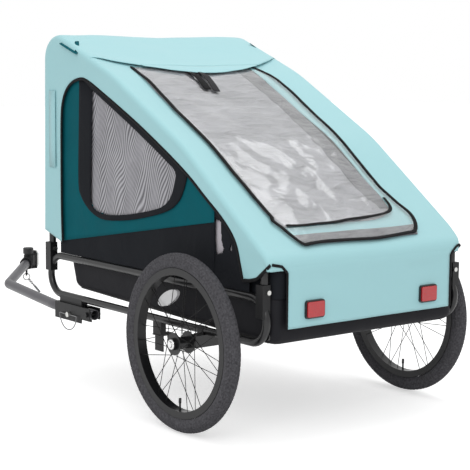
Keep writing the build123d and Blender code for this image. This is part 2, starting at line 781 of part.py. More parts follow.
cushion_outline = ((seat_front, floor_height(seat_front, board_top)),
                   (cushion_front, floor_height(cushion_front, board_top)),
                   (cushion_front, cushion_top), (seat_front, cushion_top))
with BuildPart() as seat_cushion:
    with BuildSketch(side_plane(-seat_half_width)):
        with BuildLine():
            Polyline(*[at(*place) for place in cushion_outline], close=True)
        make_face()
    extrude(amount=2 * seat_half_width)
    upper = seat_cushion.faces().sort_by(Axis.Z)[-1]
    fillet(upper.edges(), radius=cushion_radius)
save(seat_cushion.part, "seat_cushion")

lean = radians(back_lean)
back_plane = Plane(origin=(0, axle_y + back_foot[0], back_foot[1]), x_dir=(1, 0, 0),
                   z_dir=(0, -cos(lean), sin(lean)))
with BuildPart() as seat_back:
    with BuildSketch(back_plane):
        with Locations((0, back_length / 2)):
            RectangleRounded(2 * back_half_width, back_length, back_corner)
    extrude(amount=-back_thickness)
save(seat_back.part, "seat_back")

strap_start = cushion_top + 0.5
lap_low = buckle_ahead - strap_width / 2
with BuildPart() as harness_straps:
    for side, sign in SIDES:
        for edge_x in (-shoulder_strap_x, shoulder_strap_x):
            foot_ahead = back_foot[0] - strap_thickness - 0.5 - (back_foot[1] - strap_start) * tan(lean)
            foot = Vector(foot_ahead, strap_start)
            top = foot + Vector(strap_top * sin(lean), strap_top * cos(lean))
            outline = ((lap_low, strap_start), (foot.X + strap_thickness, strap_start),
                       (top.X + strap_thickness, top.Y), (top.X, top.Y),
                       (foot.X, strap_start + strap_thickness),
                       (lap_low, strap_start + strap_thickness))
            with BuildSketch(side_plane(sign * place_x + edge_x - strap_width / 2)):
                with BuildLine():
                    Polyline(*[at(*place) for place in outline], close=True)
                make_face()
            extrude(amount=strap_width)
        with BuildSketch(Plane.XY.offset(strap_start)):
            with Locations((sign * place_x, axle_y + buckle_ahead)):
                Rectangle(2 * lap_strap_reach, strap_width)
                Rectangle(buckle_size[0] + 1, 2 * strap_width, mode=Mode.SUBTRACT)
        extrude(amount=strap_thickness)
save(harness_straps.part, "harness_straps")

buckle_width, buckle_length, buckle_height = buckle_size
press_width, press_length, press_height = press_size
press_floor = cushion_top + buckle_height - press_height
for side, sign in SIDES:
    with BuildPart() as buckle:
        with BuildSketch(Plane.XY.offset(cushion_top)):
            with Locations((sign * place_x, axle_y + buckle_ahead)):
                RectangleRounded(buckle_width, buckle_length, buckle_height / 2)
        extrude(amount=buckle_height)
        with BuildSketch(Plane.XY.offset(press_floor - press_travel)):
            with Locations((sign * place_x, axle_y + buckle_ahead)):
                RectangleRounded(press_width + 0.8, press_length + 0.8, 2)
        extrude(amount=buckle_height, mode=Mode.SUBTRACT)
    save(buckle.part, f"{side}_buckle")
    with BuildPart() as buckle_button:
        with BuildSketch(Plane.XY.offset(press_floor + 0.3)):
            with Locations((sign * place_x, axle_y + buckle_ahead)):
                RectangleRounded(press_width, press_length, 2)
        extrude(amount=press_height)
    save(buckle_button.part, f"{side}_buckle_button")

# ---------------------------------------------------------------- reflectors
wide, tall = reflector_size
with BuildPart() as reflector_housings:
    for side, sign in SIDES:
        with BuildSketch(end_plane(sign * reflector_x, cover_rear - reflector_bezel, reflector_z)):
            RectangleRounded(wide, tall, reflector_corner)
        extrude(amount=reflector_bezel)
        with BuildSketch(end_plane(sign * reflector_x, cover_rear - reflector_bezel, reflector_z)):
            RectangleRounded(wide - 2 * reflector_rim, tall - 2 * reflector_rim,
                             reflector_corner - reflector_rim)
        extrude(amount=reflector_bezel / 2, mode=Mode.SUBTRACT)
save(reflector_housings.part, "reflector_housings")

with BuildPart() as reflector_lenses:
    for side, sign in SIDES:
        with BuildSketch(end_plane(sign * reflector_x, cover_rear - reflector_bezel / 2, reflector_z)):
            RectangleRounded(wide - 2 * reflector_rim - 0.4, tall - 2 * reflector_rim - 0.4,
                             reflector_corner - reflector_rim)
        extrude(amount=-(reflector_bezel / 2 + reflector_lens))
save(reflector_lenses.part, "reflector_lenses")

# ---------------------------------------------------------------- tow bar
bar_tail_at = bar_pivot - bar_tail
bar_points = ((bar_x, axle_y + bar_tail_at, bar_z), (bar_x, axle_y + bar_first_bend, bar_z),
              (bar_corner[0], axle_y + bar_corner[1], bar_corner[2]),
              (bar_end[0], axle_y + bar_end[1], bar_end[2]))
lock_depth = abs(lock_z - bar_z)
lock_tip = (bar_radius ** 2 - lock_depth ** 2) ** 0.5 - lock_bite
groove_half = lock_radius + 2 * running_clearance + 1.2
with BuildPart() as tow_bar:
    with BuildLine() as bar_path:
        FilletPolyline(*bar_points, radius=bar_bend_radii)
    with BuildSketch(end_plane(bar_x, bar_tail_at, bar_z)):
        Circle(bar_radius)
        Circle(bar_radius - bar_wall, mode=Mode.SUBTRACT)
    sweep(path=bar_path.wires()[0])
    with BuildSketch(side_plane(bar_x - 2 * bar_radius)):
        with Locations(at(bar_pivot, bar_z)):
            Circle(bar_pivot_radius + running_clearance)
    extrude(amount=4 * bar_radius, mode=Mode.SUBTRACT)
    with BuildSketch(side_plane(bar_x - lock_tip + lock_groove_slack)):
        with Locations(at(lock_ahead - 0.5, lock_z - lock_radius - 1)):
            Rectangle(2 * groove_half, 4 * bar_radius, align=(Align.CENTER, Align.MIN))
    extrude(amount=-2 * bar_radius, mode=Mode.SUBTRACT)
save(tow_bar.part, "tow_bar")

cheek_in = bar_radius + channel_side_gap
cheek_out = cheek_in + channel_wall
web_low = bar_z + bar_radius + channel_web_gap
web_high = web_low + channel_wall
block_rear, block_front = channel_block
with BuildPart() as tow_bracket:
    with BuildSketch(end_plane(bar_x, channel_rear, web_high)):
        Rectangle(2 * cheek_out, web_high - channel_low_z, align=(Align.CENTER, Align.MAX))
        with Locations((0, web_low - web_high)):
            Rectangle(2 * cheek_in, web_high, align=(Align.CENTER, Align.MAX), mode=Mode.SUBTRACT)
    extrude(amount=channel_front - channel_rear)
    for edge in (-1, 1):
        with BuildSketch(side_plane(bar_x + edge * cheek_in)):
            with Locations(at(ears_rear, ears_low_z)):
                Rectangle(channel_rear - ears_rear + channel_wall, web_high - ears_low_z,
                          align=(Align.MIN, Align.MIN))
        extrude(amount=edge * channel_wall)
    with BuildSketch(Plane.XY.offset(web_high - channel_wall / 2)):
        with Locations((bar_x, axle_y + (block_rear + block_front) / 2)):
            Rectangle(2 * tube_radius, block_front - block_rear)
    extrude(amount=rail_low_z - web_high + channel_wall / 2)
    add(rail_solids["left"], mode=Mode.SUBTRACT)
    with BuildSketch(side_plane(bar_x - 2 * cheek_out)):
        with Locations(at(bar_pivot, bar_z)):
            Circle(bar_pivot_radius + running_clearance)
    extrude(amount=4 * cheek_out, mode=Mode.SUBTRACT)
    with BuildSketch(side_plane(bar_x - cheek_in)):
        with Locations(at(lock_ahead, lock_z)):
            Circle(lock_radius + running_clearance)
    extrude(amount=-2 * channel_wall, mode=Mode.SUBTRACT)
save(tow_bracket.part, "tow_bracket")

with BuildPart() as tow_pivot_bolt:
    with BuildSketch(side_plane(bar_x - cheek_out)):
        with Locations(at(bar_pivot, bar_z)):
            Circle(bar_pivot_radius)
    extrude(amount=2 * cheek_out)
    for edge in (-1, 1):
        with BuildSketch(side_plane(bar_x + edge * cheek_out)):
            with Locations(at(bar_pivot, bar_z)):
                Circle(pivot_head_radius)
        extrude(amount=edge * pivot_head_height)
save(tow_pivot_bolt.part, "tow_pivot_bolt")

lock_head_in = bar_x - cheek_out - 1
lock_wire_x = lock_head_in - lock_head_height / 2
with BuildPart() as lock_plunger:
    with BuildSketch(side_plane(bar_x - lock_tip)):
        with Locations(at(lock_ahead, lock_z)):
            Circle(lock_radius)
    extrude(amount=lock_head_in - bar_x + lock_tip)
    with BuildSketch(side_plane(lock_head_in)):
        with Locations(at(lock_ahead, lock_z)):
            Circle(lock_head_radius)
    extrude(amount=-lock_head_height)
    with BuildSketch(end_plane(lock_wire_x, lock_ahead - 2 * lock_head_radius, lock_z)):
        Circle(wire_radius + running_clearance)
    extrude(amount=4 * lock_head_radius, mode=Mode.SUBTRACT)
save(lock_plunger.part, "lock_plunger")

with BuildPart() as lock_ring:
    with BuildLine(side_plane(lock_wire_x)) as ring_path:
        chord = Line(at(lock_ahead - lock_ring_radius, lock_z), at(lock_ahead + lock_ring_radius, lock_z))
        ThreePointArc(chord @ 1, at(lock_ahead, lock_z - lock_ring_radius), chord @ 0)
    with BuildSketch(end_plane(lock_wire_x, lock_ahead - lock_ring_radius, lock_z)):
        Circle(wire_radius)
    sweep(path=ring_path.wires()[0], transition=Transition.ROUND)
save(lock_ring.part, "lock_ring")

with BuildPart() as storage_clip:
    with BuildSketch(end_plane(clip_x, clip_ahead - clip_length / 2, clip_roof_z)):
        with Locations((0, clip_wall)):
            Rectangle(2 * clip_half_width, clip_roof_z + clip_wall - clip_low_z,
                      align=(Align.CENTER, Align.MAX))
        Rectangle(2 * (clip_half_width - clip_wall), 4 * clip_half_width, align=(Align.CENTER, Align.MAX),
                  mode=Mode.SUBTRACT)
        Rectangle(rail_x + clip_x + tube_radius, clip_wall, align=(Align.MIN, Align.MIN))
        with Locations((rail_x + clip_x, 0)):
            Rectangle(2 * tube_radius - 4, rail_low_z - clip_roof_z, align=(Align.CENTER, Align.MIN))
    extrude(amount=clip_length)
    add(rail_solids["left"], mode=Mode.SUBTRACT)
save(storage_clip.part, "storage_clip")

# ---------------------------------------------------------------- hitch
swivel = Vector(swivel_at.X, swivel_at.Y + axle_y, swivel_at.Z)
bar_end_here = Vector(bar_end[0], bar_end[1] + axle_y, bar_end[2])
post_low = swivel.Z - post_height / 2
post_high = swivel.Z + post_height / 2
with BuildPart() as hitch_socket:
    with BuildSketch(Plane.XY.offset(post_low)):
        with Locations((swivel.X, swivel.Y)):
            Circle(post_radius)
    extrude(amount=post_height)
    with BuildSketch(Plane(origin=bar_end_here - bar_way * socket_grip, z_dir=bar_way)):
        Circle(socket_radius)
    extrude(amount=socket_grip)
    with BuildSketch(Plane(origin=bar_end_here - bar_way * 2 * socket_grip, z_dir=bar_way)):
        Circle(bar_radius)
    extrude(amount=2 * socket_grip, mode=Mode.SUBTRACT)
    with BuildSketch(Plane.XY.offset(post_low)):
        with Locations((swivel.X, swivel.Y)):
            Circle(swivel_pin_radius + running_clearance)
    extrude(amount=post_height, mode=Mode.SUBTRACT)
save(hitch_socket.part, "hitch_socket")

lower_tongue = post_low - play - tongue
upper_tongue = post_high + play
knob_low = upper_tongue + tongue + play
with BuildPart() as swivel_pin:
    with BuildSketch(Plane.XY.offset(lower_tongue - play)):
        with Locations((swivel.X, swivel.Y)):
            Circle(swivel_pin_radius)
    extrude(amount=knob_low - lower_tongue + play)
    with BuildSketch(Plane.XY.offset(knob_low)):
        with Locations((swivel.X, swivel.Y)):
            Circle(knob_radius)
    extrude(amount=knob_height)
    fillet(swivel_pin.faces().sort_by(Axis.Z)[-1].edges(), radius=knob_height / 5)
    with BuildSketch(Plane.XY.offset(lower_tongue - play)):
        with Locations((swivel.X, swivel.Y)):
            Circle(swivel_pin_radius + 2)
    extrude(amount=-2)
save(swivel_pin.part, "swivel_pin")

web_out = yoke_reach + tongue
rivet_z = post_high + yoke_height - yoke_half_width - 10
with BuildPart() as hitch_yoke:
    for low in (lower_tongue, upper_tongue):
        with BuildSketch(Plane.XY.offset(low)):
            with Locations((swivel.X, swivel.Y)):
                Circle(yoke_half_width)
                Rectangle(web_out, 2 * yoke_half_width, align=(Align.MIN, Align.CENTER))
                Circle(swivel_pin_radius + running_clearance, mode=Mode.SUBTRACT)
        extrude(amount=tongue)
    with BuildSketch(side_plane(swivel.X + yoke_reach)):
        with Locations((swivel.Y, lower_tongue)):
            Rectangle(2 * yoke_half_width, rivet_z - lower_tongue, align=(Align.CENTER, Align.MIN))
        with Locations((swivel.Y, rivet_z)):
            Circle(yoke_half_width)
    extrude(amount=tongue)
    with BuildSketch(side_plane(swivel.X + web_out)):
        with Locations((swivel.Y, rivet_z)):
            Circle(pin_radius)
    extrude(amount=axle_plate + 2 * play)
    with BuildSketch(side_plane(swivel.X + web_out + axle_plate + 2 * play)):
        with Locations((swivel.Y, rivet_z)):
            Circle(bolt_head_radius)
    extrude(amount=bolt_head_height / 2)
save(hitch_yoke.part, "hitch_yoke")

with BuildPart() as hub_plate:
    with BuildSketch(side_plane(swivel.X + web_out + play)):
        with Locations((swivel.Y, rivet_z), (swivel.Y, rivet_z - axle_hole_drop)):
            Circle(axle_plate_radius)
        make_hull()
        with Locations((swivel.Y, rivet_z)):
            Circle(pin_radius + running_clearance, mode=Mode.SUBTRACT)
        with Locations((swivel.Y, rivet_z - axle_hole_drop)):
            Circle(axle_hole_radius, mode=Mode.SUBTRACT)
    extrude(amount=axle_plate)
save(hub_plate.part, "axle_plate")

strap_middle = bar_end_here - bar_way * hitch_strap_back
bar_level = Vector(bar_way.X, bar_way.Y, 0).normalized()
strap_start = strap_middle - bar_way * (hitch_strap_width / 2)
strap_out = socket_radius + 0.3 + strap_cloth
tail_low = strap_middle.Z - strap_out - hitch_strap_drop
ring_hole_z = tail_low + 3 * wire_radius + strap_cloth
with BuildPart() as safety_strap:
    with BuildSketch(Plane(origin=strap_start, z_dir=bar_way)):
        Circle(strap_out)
    extrude(amount=hitch_strap_width)
    with BuildSketch(Plane(origin=(strap_middle.X, strap_middle.Y, tail_low), x_dir=bar_level,
                           z_dir=(0, 0, 1))):
        Rectangle(hitch_strap_band, strap_cloth)
    extrude(amount=hitch_strap_drop + strap_out / 2)
    with BuildSketch(Plane(origin=strap_start - bar_way * hitch_strap_width, z_dir=bar_way)):
        Circle(socket_radius + 0.3)
    extrude(amount=3 * hitch_strap_width, mode=Mode.SUBTRACT)
    across = Vector(-bar_level.Y, bar_level.X, 0)
    hole_at = Vector(strap_middle.X, strap_middle.Y, ring_hole_z)
    with BuildSketch(Plane(origin=hole_at - across * 2 * strap_cloth, z_dir=across)):
        Circle(2 * wire_radius)
    extrude(amount=4 * strap_cloth, mode=Mode.SUBTRACT)
save(safety_strap.part, "safety_strap")


def loop_of_wire(middle, along, facing, radius, wire):
    """A closed ring of wire about the axis "facing", its section drawn where it meets "along"."""
    with BuildPart() as ring:
        with BuildSketch(Plane(origin=middle + along * radius, x_dir=along, z_dir=along.cross(facing))):
            Circle(wire)
        revolve(axis=Axis(middle, facing))
    return ring.part


down = Vector(0, 0, -1)
ring_at = hole_at + down * strap_ring_radius
strap_ring = loop_of_wire(ring_at, down, bar_level, strap_ring_radius, wire_radius)
save(strap_ring, "strap_ring")

chain_way = down * sin(radians(chain_slope)) - across * cos(radians(chain_slope))
flat_way = bar_level.cross(chain_way)
first_link = ring_at + chain_way * (strap_ring_radius + link_gap)
with BuildPart() as chain:
    for number in range(chain_links):
        facing = bar_level if number % 2 else flat_way
        place = first_link + chain_way * (number * link_pitch)
        add(loop_of_wire(place, chain_way, facing, link_loop_radius, link_wire_radius))
save(chain.part, "chain_links")

last_link = first_link + chain_way * ((chain_links - 1) * link_pitch)
eye_at = last_link + chain_way * link_loop_radius
eye_way = bar_level if chain_links % 2 else flat_way
eye_radius = link_wire_radius + 2
with BuildPart() as hitch_pin:
    with BuildSketch(Plane(origin=eye_at - eye_way, x_dir=chain_way, z_dir=eye_way)):
        Circle(eye_radius)
        Rectangle(3 * eye_radius, 2 * eye_radius, align=(Align.MIN, Align.CENTER))
        Circle(link_wire_radius + 0.7, mode=Mode.SUBTRACT)
    extrude(amount=2)
    with BuildSketch(Plane(origin=eye_at + chain_way * (2 * eye_radius), z_dir=chain_way)):
        Circle(hitch_pin_radius)
    extrude(amount=hitch_pin_length)
save(hitch_pin.part, "hitch_pin")
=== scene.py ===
# %% [markdown]
# # A child bicycle trailer: cloth, tube and rubber round a fixed frame
# The frame holds every hard part of the trailer, already in place and already jointed. This script gives
# each hard part its finish and builds the soft parts: the cover, the window flap, the side panels, the tub,
# the seat and the tyres. Lengths in the tables are in millimetres, because that is how such a thing is cut
# and sewn. Scene units are metres, and `spot` turns one into the other.

# %%
import bisect
import json
import math

import bpy
from mathutils import Matrix, Quaternion, Vector, noise

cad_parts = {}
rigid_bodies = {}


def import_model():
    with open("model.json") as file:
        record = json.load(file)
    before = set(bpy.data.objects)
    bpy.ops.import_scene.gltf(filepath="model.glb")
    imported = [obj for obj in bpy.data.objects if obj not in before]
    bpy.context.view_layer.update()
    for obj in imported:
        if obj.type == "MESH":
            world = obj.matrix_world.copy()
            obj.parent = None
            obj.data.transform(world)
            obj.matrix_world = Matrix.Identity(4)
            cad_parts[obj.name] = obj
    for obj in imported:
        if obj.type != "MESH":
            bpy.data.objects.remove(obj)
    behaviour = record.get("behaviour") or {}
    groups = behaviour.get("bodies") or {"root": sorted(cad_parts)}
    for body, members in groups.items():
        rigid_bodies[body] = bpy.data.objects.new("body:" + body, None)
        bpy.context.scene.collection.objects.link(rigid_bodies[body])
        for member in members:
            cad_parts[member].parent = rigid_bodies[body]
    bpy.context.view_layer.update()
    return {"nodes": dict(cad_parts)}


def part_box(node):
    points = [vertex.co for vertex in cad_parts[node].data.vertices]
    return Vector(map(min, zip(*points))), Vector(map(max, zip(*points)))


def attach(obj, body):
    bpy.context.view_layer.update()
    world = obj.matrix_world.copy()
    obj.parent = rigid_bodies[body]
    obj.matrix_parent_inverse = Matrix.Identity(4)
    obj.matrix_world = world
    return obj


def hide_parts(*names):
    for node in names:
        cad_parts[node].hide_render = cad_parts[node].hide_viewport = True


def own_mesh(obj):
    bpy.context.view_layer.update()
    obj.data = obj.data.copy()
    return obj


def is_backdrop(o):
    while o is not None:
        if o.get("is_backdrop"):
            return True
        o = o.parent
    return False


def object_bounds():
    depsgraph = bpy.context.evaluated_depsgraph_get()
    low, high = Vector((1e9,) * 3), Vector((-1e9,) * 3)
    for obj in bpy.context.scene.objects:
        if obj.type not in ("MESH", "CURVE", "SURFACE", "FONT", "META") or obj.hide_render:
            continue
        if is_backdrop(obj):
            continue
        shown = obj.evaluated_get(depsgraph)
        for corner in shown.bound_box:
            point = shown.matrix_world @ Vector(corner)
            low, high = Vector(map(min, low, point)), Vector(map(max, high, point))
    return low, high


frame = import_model()
low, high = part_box("left_tyre")
AXLE_Y = (low.y + high.y) / 2
print("frame", len(frame["nodes"]), "nodes; axle at y", round(AXLE_Y, 4))

# %% [markdown]
# ## Places
# `spot` turns "so far right, so far ahead of the axle, so high" into a point of the scene. Outlines are
# written with sharp corners, and `rounded` swaps each corner for an arc, as a cutter's pattern does. A
# `Run` is a line that can be walked by length, and `eased` bends a smooth curve through listed points.
# `inside` tells a hole from the cloth round it, by counting how often a level line crosses the hole's
# edge.

# %%
def spot(x, ahead, z):
    return Vector((x / 1000, AXLE_Y + ahead / 1000, z / 1000))


def rounded(points, radii, arc_steps=10):
    """The same line with each corner turned into an arc of its own radius."""
    points = [Vector((p[0], p[1])) for p in points]
    out = [points[0]]
    for before, here, after, radius in zip(points, points[1:], points[2:], radii):
        a, b = (before - here).normalized(), (after - here).normalized()
        half = a.angle(b) / 2
        reach = radius / math.tan(half)
        centre = here + (a + b).normalized() * (radius / math.sin(half))
        start, end = here + a * reach - centre, here + b * reach - centre
        turn = math.atan2(start.x * end.y - start.y * end.x, start.dot(end))
        for k in range(arc_steps + 1):
            t = turn * k / arc_steps
            out.append(centre + Vector((start.x * math.cos(t) - start.y * math.sin(t),
                                        start.x * math.sin(t) + start.y * math.cos(t))))
    out.append(points[-1])
    return out


class Run:
    """A polyline that can be asked for the point at a length along it."""

    def __init__(self, points):
        self.points = [Vector(p) for p in points]
        self.marks = [0.0]
        for p, q in zip(self.points, self.points[1:]):
            self.marks.append(self.marks[-1] + (q - p).length)
        self.length = self.marks[-1]
        self.samples = []

    def point(self, s):
        s = min(max(s, 0.0), self.length)
        k = min(max(bisect.bisect_left(self.marks, s) - 1, 0), len(self.points) - 2)
        span = self.marks[k + 1] - self.marks[k]
        return self.points[k].lerp(self.points[k + 1], (s - self.marks[k]) / span if span else 0)

    def normal(self, s):
        way = self.point(s + 2) - self.point(s - 2)
        return Vector((-way.y, way.x)).normalized()

    def nearest(self, target):
        if not self.samples:
            self.samples = [self.point(k) for k in range(0, int(self.length), 2)]
        target = Vector(target)
        return 2.0 * min(range(len(self.samples)), key=lambda k: (self.samples[k] - target).length)


def eased(points, steps=6):
    """A smooth curve through given points (Catmull-Rom)."""
    points = [Vector(p) for p in points]
    ends = [points[0] * 2 - points[1], *points, points[-1] * 2 - points[-2]]
    out = []
    for a, b, c, d in zip(ends, ends[1:], ends[2:], ends[3:]):
        for k in range(steps):
            t = k / steps
            out.append((b * 2 + (c - a) * t + (a * 2 - b * 5 + c * 4 - d) * t * t
                        + (b * 3 - a - c * 3 + d) * t * t * t) / 2)
    return [*out, points[-1]]


def blend_map(pairs, value):
    """Straight-line lookup in a table of (from, to)."""
    for (a, x), (b, y) in zip(pairs, pairs[1:]):
        if value <= b:
            return x + (y - x) * (value - a) / (b - a) if b > a else x
    return pairs[-1][1]


def inside(shape, y, z):
    """Whether a point lies within a closed outline."""
    hit = False
    for (y0, z0), (y1, z1) in zip(shape, shape[1:] + shape[:1]):
        if (z0 > z) != (z1 > z) and y < (y1 - y0) * (z - z0) / (z1 - z0) + y0:
            hit = not hit
    return hit


SIDES = (("left", -1), ("right", 1))

# %% [markdown]
# ## Meshes from rows of points
# Cloth is easiest to lay out as rows of points, like a weaver's warp. `grid` joins neighbouring rows with
# quads, leaves out the quads that a test rejects (that is how the window hole is cut), and thickens the
# sheet with Solidify. Smooth shading with an even grid reads as cloth, where a few large flat faces would
# read as card. `band` sweeps a flattened ring of points along a path, for tape and webbing.

# %%
def new_object(name, verts, faces, material):
    mesh = bpy.data.meshes.new(name)
    mesh.from_pydata([tuple(v) for v in verts], [], faces)
    mesh.validate()
    mesh.shade_smooth()
    obj = bpy.data.objects.new(name, mesh)
    bpy.context.scene.collection.objects.link(obj)
    mesh.materials.append(material)
    return obj


def grid(name, rows, material, thickness=2.0, keep=None, levels=0, offset=-1.0):
    """A sheet through rows of points. keep(i, j) says whether the quad ahead of row i, column j is cloth."""
    wide = len(rows[0])
    verts = [p for row in rows for p in row]
    faces = [[i * wide + j, i * wide + j + 1, (i + 1) * wide + j + 1, (i + 1) * wide + j]
             for i in range(len(rows) - 1) for j in range(wide - 1) if keep is None or keep(i, j)]
    obj = new_object(name, verts, faces, material)
    if thickness:
        solid = obj.modifiers.new("cloth", "SOLIDIFY")
        solid.thickness = thickness / 1000
        solid.offset = offset
    if levels:
        sub = obj.modifiers.new("smooth", "SUBSURF")
        sub.levels = sub.render_levels = levels
    return obj


def settle(obj):
    """Bakes the modifiers into the mesh."""
    bpy.context.view_layer.update()
    graph = bpy.context.evaluated_depsgraph_get()
    mesh = bpy.data.meshes.new_from_object(obj.evaluated_get(graph))
    obj.modifiers.clear()
    obj.data = mesh
    return obj


def band(name, path, width, thickness, face, material, closed=False, steps=8):
    """A flattened tube along a path of points: tape or webbing. "face" is the way its flat side looks."""
    count = len(path)
    verts, faces = [], []
    for k, p in enumerate(path):
        before = path[k - 1] if k or closed else path[k]
        after = path[(k + 1) % count] if k < count - 1 or closed else path[k]
        way = (after - before).normalized()
        side = way.cross(face).normalized()
        out = side.cross(way).normalized()
        for m in range(steps):
            a = 2 * math.pi * m / steps
            verts.append(p + side * (width / 2000 * math.cos(a))
                         + out * (thickness / 2000 * math.sin(a)))
    for k in range(count if closed else count - 1):
        for m in range(steps):
            a, b = k * steps + m, k * steps + (m + 1) % steps
            c, d = ((k + 1) % count) * steps + (m + 1) % steps, ((k + 1) % count) * steps + m
            faces.append([a, b, c, d])
    if not closed:
        faces.append(list(range(steps - 1, -1, -1)))
        faces.append([(count - 1) * steps + m for m in range(steps)])
    return new_object(name, verts, faces, material)


def ripple(p, size, amount, seed=0.0):
    """A smooth wave of about this size (mm) and height (mm) at a point."""
    q = Vector((p[0] / size + seed, p[1] / size + seed * 0.7, (p[2] if len(p) > 2 else 0) / size))
    return noise.noise(q) * amount


# %% [markdown]
# ## Shader nodes and shared groups
# `add_node` makes one shader node and fills its inputs. A number stays on the input as its constant, and
# another node's output is linked to it. Two small groups hold the patterns that several finishes share.
# "Weave" gives the over-and-under of threads as a height. "Mottle" gives the slow light and dark of handled
# surfaces; on the tyre, at a fine scale, it is painted light on the knob tops and painted shade in the
# grooves.
# They output values only, so each material still owns its Principled shader and its own numbers.

# %%
def fill(tree, node, inputs):
    for label, value in inputs.items():
        if isinstance(value, bpy.types.NodeSocket):
            tree.links.new(value, node.inputs[label])
        else:
            node.inputs[label].default_value = value


def add_node(tree, kind, inputs=None, **settings):
    """A shader node. Settings go on the node, and inputs are constants or the outputs of other nodes."""
    node = tree.nodes.new("ShaderNode" + kind)
    for label, value in settings.items():
        setattr(node, label, value)
    fill(tree, node, inputs or {})
    return node


def math_node(tree, operation, *values):
    return add_node(tree, "Math", dict(enumerate(values)), operation=operation).outputs[0]


def object_place(tree):
    """Where a point is on its piece, in metres, so that patterns stay put as the piece moves."""
    return add_node(tree, "TexCoord").outputs["Object"]


def cloud(tree, place, scale, detail=2.0, distortion=0.0):
    inputs = {"Vector": place, "Scale": scale, "Detail": detail, "Distortion": distortion}
    return add_node(tree, "TexNoise", inputs).outputs["Fac"]


def bump(tree, height, strength, distance, under=None):
    """Tilts the surface by a height pattern, on top of the bump under it, if there is one."""
    inputs = {"Height": height, "Strength": strength, "Distance": distance}
    if under is not None:
        inputs["Normal"] = under
    return add_node(tree, "Bump", inputs).outputs["Normal"]


def two_tones(tree, factor, dark, light):
    inputs = {"Factor": factor, "A": (*dark, 1), "B": (*light, 1)}
    return add_node(tree, "Mix", inputs, data_type="RGBA").outputs["Result"]


def spread(tree, value, low, high):
    inputs = {"Value": value, "To Min": low, "To Max": high}
    return add_node(tree, "MapRange", inputs).outputs["Result"]


def new_material(name):
    material = bpy.data.materials.new(name)
    material.use_nodes = True
    return material, material.node_tree, material.node_tree.nodes["Principled BSDF"]


def make_group(name, control, default, result):
    """A node group with one number in and one number out."""
    group = bpy.data.node_groups.new(name, "ShaderNodeTree")
    socket = group.interface.new_socket(control, in_out="INPUT", socket_type="NodeSocketFloat")
    socket.default_value = default
    group.interface.new_socket(result, in_out="OUTPUT", socket_type="NodeSocketFloat")
    start, end = group.nodes.new("NodeGroupInput"), group.nodes.new("NodeGroupOutput")
    return group, start.outputs[control], end.inputs[result]


weave, thread_count, thread_height = make_group("Weave", "Threads", 900.0, "Height")
parts = add_node(weave, "SeparateXYZ", {0: object_place(weave)}).outputs
lengthwise = math_node(weave, "ADD", parts["Y"], parts["Z"])
warp = math_node(weave, "SINE", math_node(weave, "MULTIPLY", parts["X"], thread_count))
weft = math_node(weave, "SINE", math_node(weave, "MULTIPLY", lengthwise, thread_count))
weave.links.new(math_node(weave, "MULTIPLY", warp, weft), thread_height)

mottle, blot_size, blot_tone = make_group("Mottle", "Scale", 12.0, "Value")
mottle.links.new(cloud(mottle, object_place(mottle), blot_size, 5), blot_tone)
print("groups", [g.name for g in bpy.data.node_groups])

# %% [markdown]
# ## Finishes
# One function lays down the usual tree: two tones mixed by mottle, a bump from wrinkles, weave or grain,
# and a Principled shader whose constants stay on its own sockets. Cloth is rough with a little sheen.
# Powder-coated tube is dark with a thin coat. Plated steel is metallic, and its colour is its reflection.

# %%
def finish(name, colour, rough=0.5, metal=0.0, second=None, mottle_scale=10.0, threads=0.0, thread_bump=0.15,
           grain_scale=0.0, grain_bump=0.1, sheen=0.0, coat=0.0, rough_spread=0.08, wrinkle=0.0,
           wrinkle_scale=9.0, specular=0.5):
    material, tree, shader = new_material(name)
    constants = {"Base Color": (*colour, 1), "Metallic": metal, "Roughness": rough,
                 "Specular IOR Level": specular, "Sheen Weight": sheen, "Coat Weight": coat}
    fill(tree, shader, constants)
    if coat:
        fill(tree, shader, {"Coat Roughness": 0.15})
    blot = add_node(tree, "Group", {"Scale": mottle_scale}, node_tree=mottle).outputs["Value"]
    second = second or tuple(c * 0.82 for c in colour)
    rough_range = max(rough - rough_spread, 0.02), min(rough + rough_spread, 1.0)
    fill(tree, shader, {"Base Color": two_tones(tree, blot, second, colour),
                        "Roughness": spread(tree, blot, *rough_range)})
    place, normal = object_place(tree), None
    if wrinkle:
        normal = bump(tree, cloud(tree, place, wrinkle_scale, 3, 0.8), wrinkle, 0.02)
    if threads:
        cloth = add_node(tree, "Group", {"Threads": threads}, node_tree=weave).outputs["Height"]
        normal = bump(tree, cloth, thread_bump, 0.0004, normal)
    if grain_scale:
        normal = bump(tree, cloud(tree, place, grain_scale), grain_bump, 0.0005, normal)
    if normal is not None:
        fill(tree, shader, {"Normal": normal})
    return material


COVER = finish("coated_teal_cloth", (0.365, 0.635, 0.67), rough=0.6, second=(0.335, 0.61, 0.645),
               mottle_scale=3.0, threads=2600, thread_bump=0.05, sheen=0.15, wrinkle=0.14, wrinkle_scale=5.0)
PANEL = finish("dark_teal_cloth", (0.001, 0.112, 0.138), rough=0.75, second=(0.001, 0.080, 0.100),
               threads=2200, thread_bump=0.1, wrinkle=0.2, wrinkle_scale=7.0, specular=0.1)
BLACK_CLOTH = finish("black_cloth", (0.0115, 0.0130, 0.0165), rough=0.8, threads=2200, wrinkle=0.25,
                     wrinkle_scale=8.0, specular=0.12)
TUB_CLOTH = finish("tub_cloth", (0.0120, 0.0120, 0.0150), rough=0.65, threads=1500, thread_bump=0.1,
                   wrinkle=0.3, wrinkle_scale=6.0, specular=0.15)
BINDING = finish("black_binding", (0.008, 0.008, 0.009), rough=0.7, threads=5200, thread_bump=0.3,
                 specular=0.15)
WEBBING = finish("webbing", (0.010, 0.010, 0.011), rough=0.75, threads=3600, thread_bump=0.6, specular=0.15)
GREY_WEB = finish("grey_webbing", (0.035, 0.035, 0.038), rough=0.8, threads=3600, thread_bump=0.6,
                  specular=0.2)
